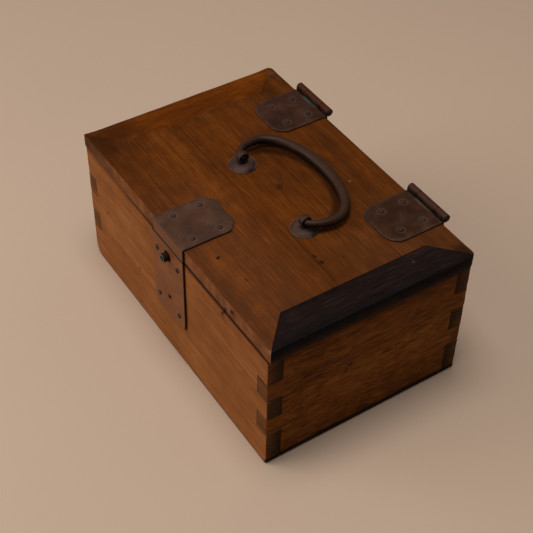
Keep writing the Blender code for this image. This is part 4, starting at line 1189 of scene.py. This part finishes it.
def makeButton(iron):
    # the button's dished face, front - d (1 - (u / r)^2), inside a worn lip painted lighter as a highlight;
    # then the spring's rivet, a low dome, and steel for the strike and the spring
    low, high = span("push_button")
    r, dish, flange = pushButton["radius"], pushButton["dish"], pushButton["flange"]
    front, rear = -low[1], -high[1]
    step = rear + pushButton["flangeThick"]
    a = np.linspace(0, 1, 7)
    bowl = np.stack([(r - dish) * a, front - dish * (1 - a ** 2)], -1)
    lip = [(r - 0.2, front - 0.08), (r, front - 0.4), (r, step), (flange, step), (flange, rear), (0, rear)]
    shell = Shell()
    turned(shell, np.concatenate([bowl, lip]), middle("push_button") * (1, 0, 1), "front", 36, 0.004, 3,
           None, np.concatenate([a ** 6, [0.8, 0, 0, 0, 0, 0]]))
    piece("pushButton", shell, patina("buttonIron", buttonLook), "button", ["push_button"])

    low, high = span("spring_rivet")
    front, rear = -low[1], -high[1]
    face = -span("lock_plate")[0][1]
    base = face + rivet["lift"]
    step = rear + rivet["tailThick"]
    stem = [(nail["shank"], face - nail["under"]), (nail["shank"], step), (rivet["tail"], step),
            (rivet["tail"], rear), (0, rear)]
    profile = np.concatenate([dome(nail["head"], base, front - base), stem])
    shell = Shell()
    turned(shell, profile, middle("spring_rivet") * (1, 0, 1), "front", 20, 0.01, 8)
    piece("springRivet", shell, iron, "box", ["spring_rivet"])
    nailHeads("strikeNails", iron, nailNodes("strike", 2), "down", "lid", 7)

    steel = patina("springSteel", springLook)
    for node in ("lid_strike", "latch_spring"):
        mesh = frame["nodes"][node].data
        mesh.materials.clear()
        mesh.materials.append(steel)


# stage, light and camera

studio = dict(
    floor="bda48f", floorDark="b29a86", floorHalf=6000, world=(1, 0.97, 0.94), worldLevel=0.20, aim=60,
    lamps=(
        dict(name="above", place=(40, -130, 1500), size=700, power=14, colour=(1, 0.98, 0.95)),
        dict(name="window", place=(-750, -1350, 900), size=1400, power=16, colour=(1, 0.98, 0.95)),
    ),
)
view = dict(lens=80.59, sensor=36, eye=(507.5, -340.9, 644.2), look=(15.32, -11.67, 60), roll=1.264)


def makeStage():
    # a flat square, pale, with a slow change of tone, under a dim sky and two round lamps
    reach = studio["floorHalf"] * mm
    mesh = bpy.data.meshes.new("floor")
    corners = [(x * reach, y * reach, 0) for x, y in ((-1, -1), (1, -1), (1, 1), (-1, 1))]
    mesh.from_pydata(corners, [], [(0, 1, 2, 3)])
    floor = added("floor", mesh)
    f = Finish("paleFloor")
    tone = f.mix(f.noise(420, 1), hue(studio["floor"]), hue(studio["floorDark"]))
    mesh.materials.append(f.done(Base_Color=tone, Roughness=0.75, Specular_IOR_Level=0.2))
    world = bpy.data.worlds.new("studio")
    world.use_nodes = True
    sky = world.node_tree.nodes["Background"]
    sky.inputs["Color"].default_value = (*studio["world"], 1)
    sky.inputs["Strength"].default_value = studio["worldLevel"]
    bpy.context.scene.world = world
    for lamp in studio["lamps"]:
        data = bpy.data.lights.new(lamp["name"], "AREA")
        data.shape = "DISK"
        data.size = lamp["size"] * mm
        data.energy = lamp["power"]
        data.color = lamp["colour"]
        obj = added(lamp["name"], data)
        place = Vector(lamp["place"]) * mm
        obj.location = place
        obj.rotation_mode = "QUATERNION"
        obj.rotation_quaternion = (Vector((0, 0, studio["aim"] * mm)) - place).to_track_quat("-Z", "Y")
    print("made the floor, the sky and", len(studio["lamps"]), "lamps")


def makeCamera():
    # looks from eye to look, then rolls about its own axis
    data = bpy.data.cameras.new("camera")
    data.lens = view["lens"]
    data.sensor_width = view["sensor"]
    data.clip_start = 0.01
    camera = added("camera", data)
    eyeAt, look = Vector(view["eye"]) * mm, Vector(view["look"]) * mm
    forward = (look - eyeAt).normalized()
    level = forward.cross(Vector((0, 0, 1))).normalized()
    roll = math.radians(view["roll"])
    right = level * math.cos(roll) + level.cross(forward) * math.sin(roll)
    up = right.cross(forward)
    turn = Matrix((right, up, -forward)).transposed()
    camera.matrix_world = Matrix.Translation(eyeAt) @ turn.to_4x4()
    bpy.context.scene.camera = camera


print("frame", len(frame["nodes"]), "nodes")
bpy.context.scene.view_settings.view_transform = "Standard"
makeStage()
makeCamera()
makeWalls()
makeLid()
iron = patina("nailIron", ironLook)
makeHinges(iron)
makeBail()
makeEyes()
makeRoses()
makeLidPlate(iron)
makeLockPlate(iron)
makeButton(iron)
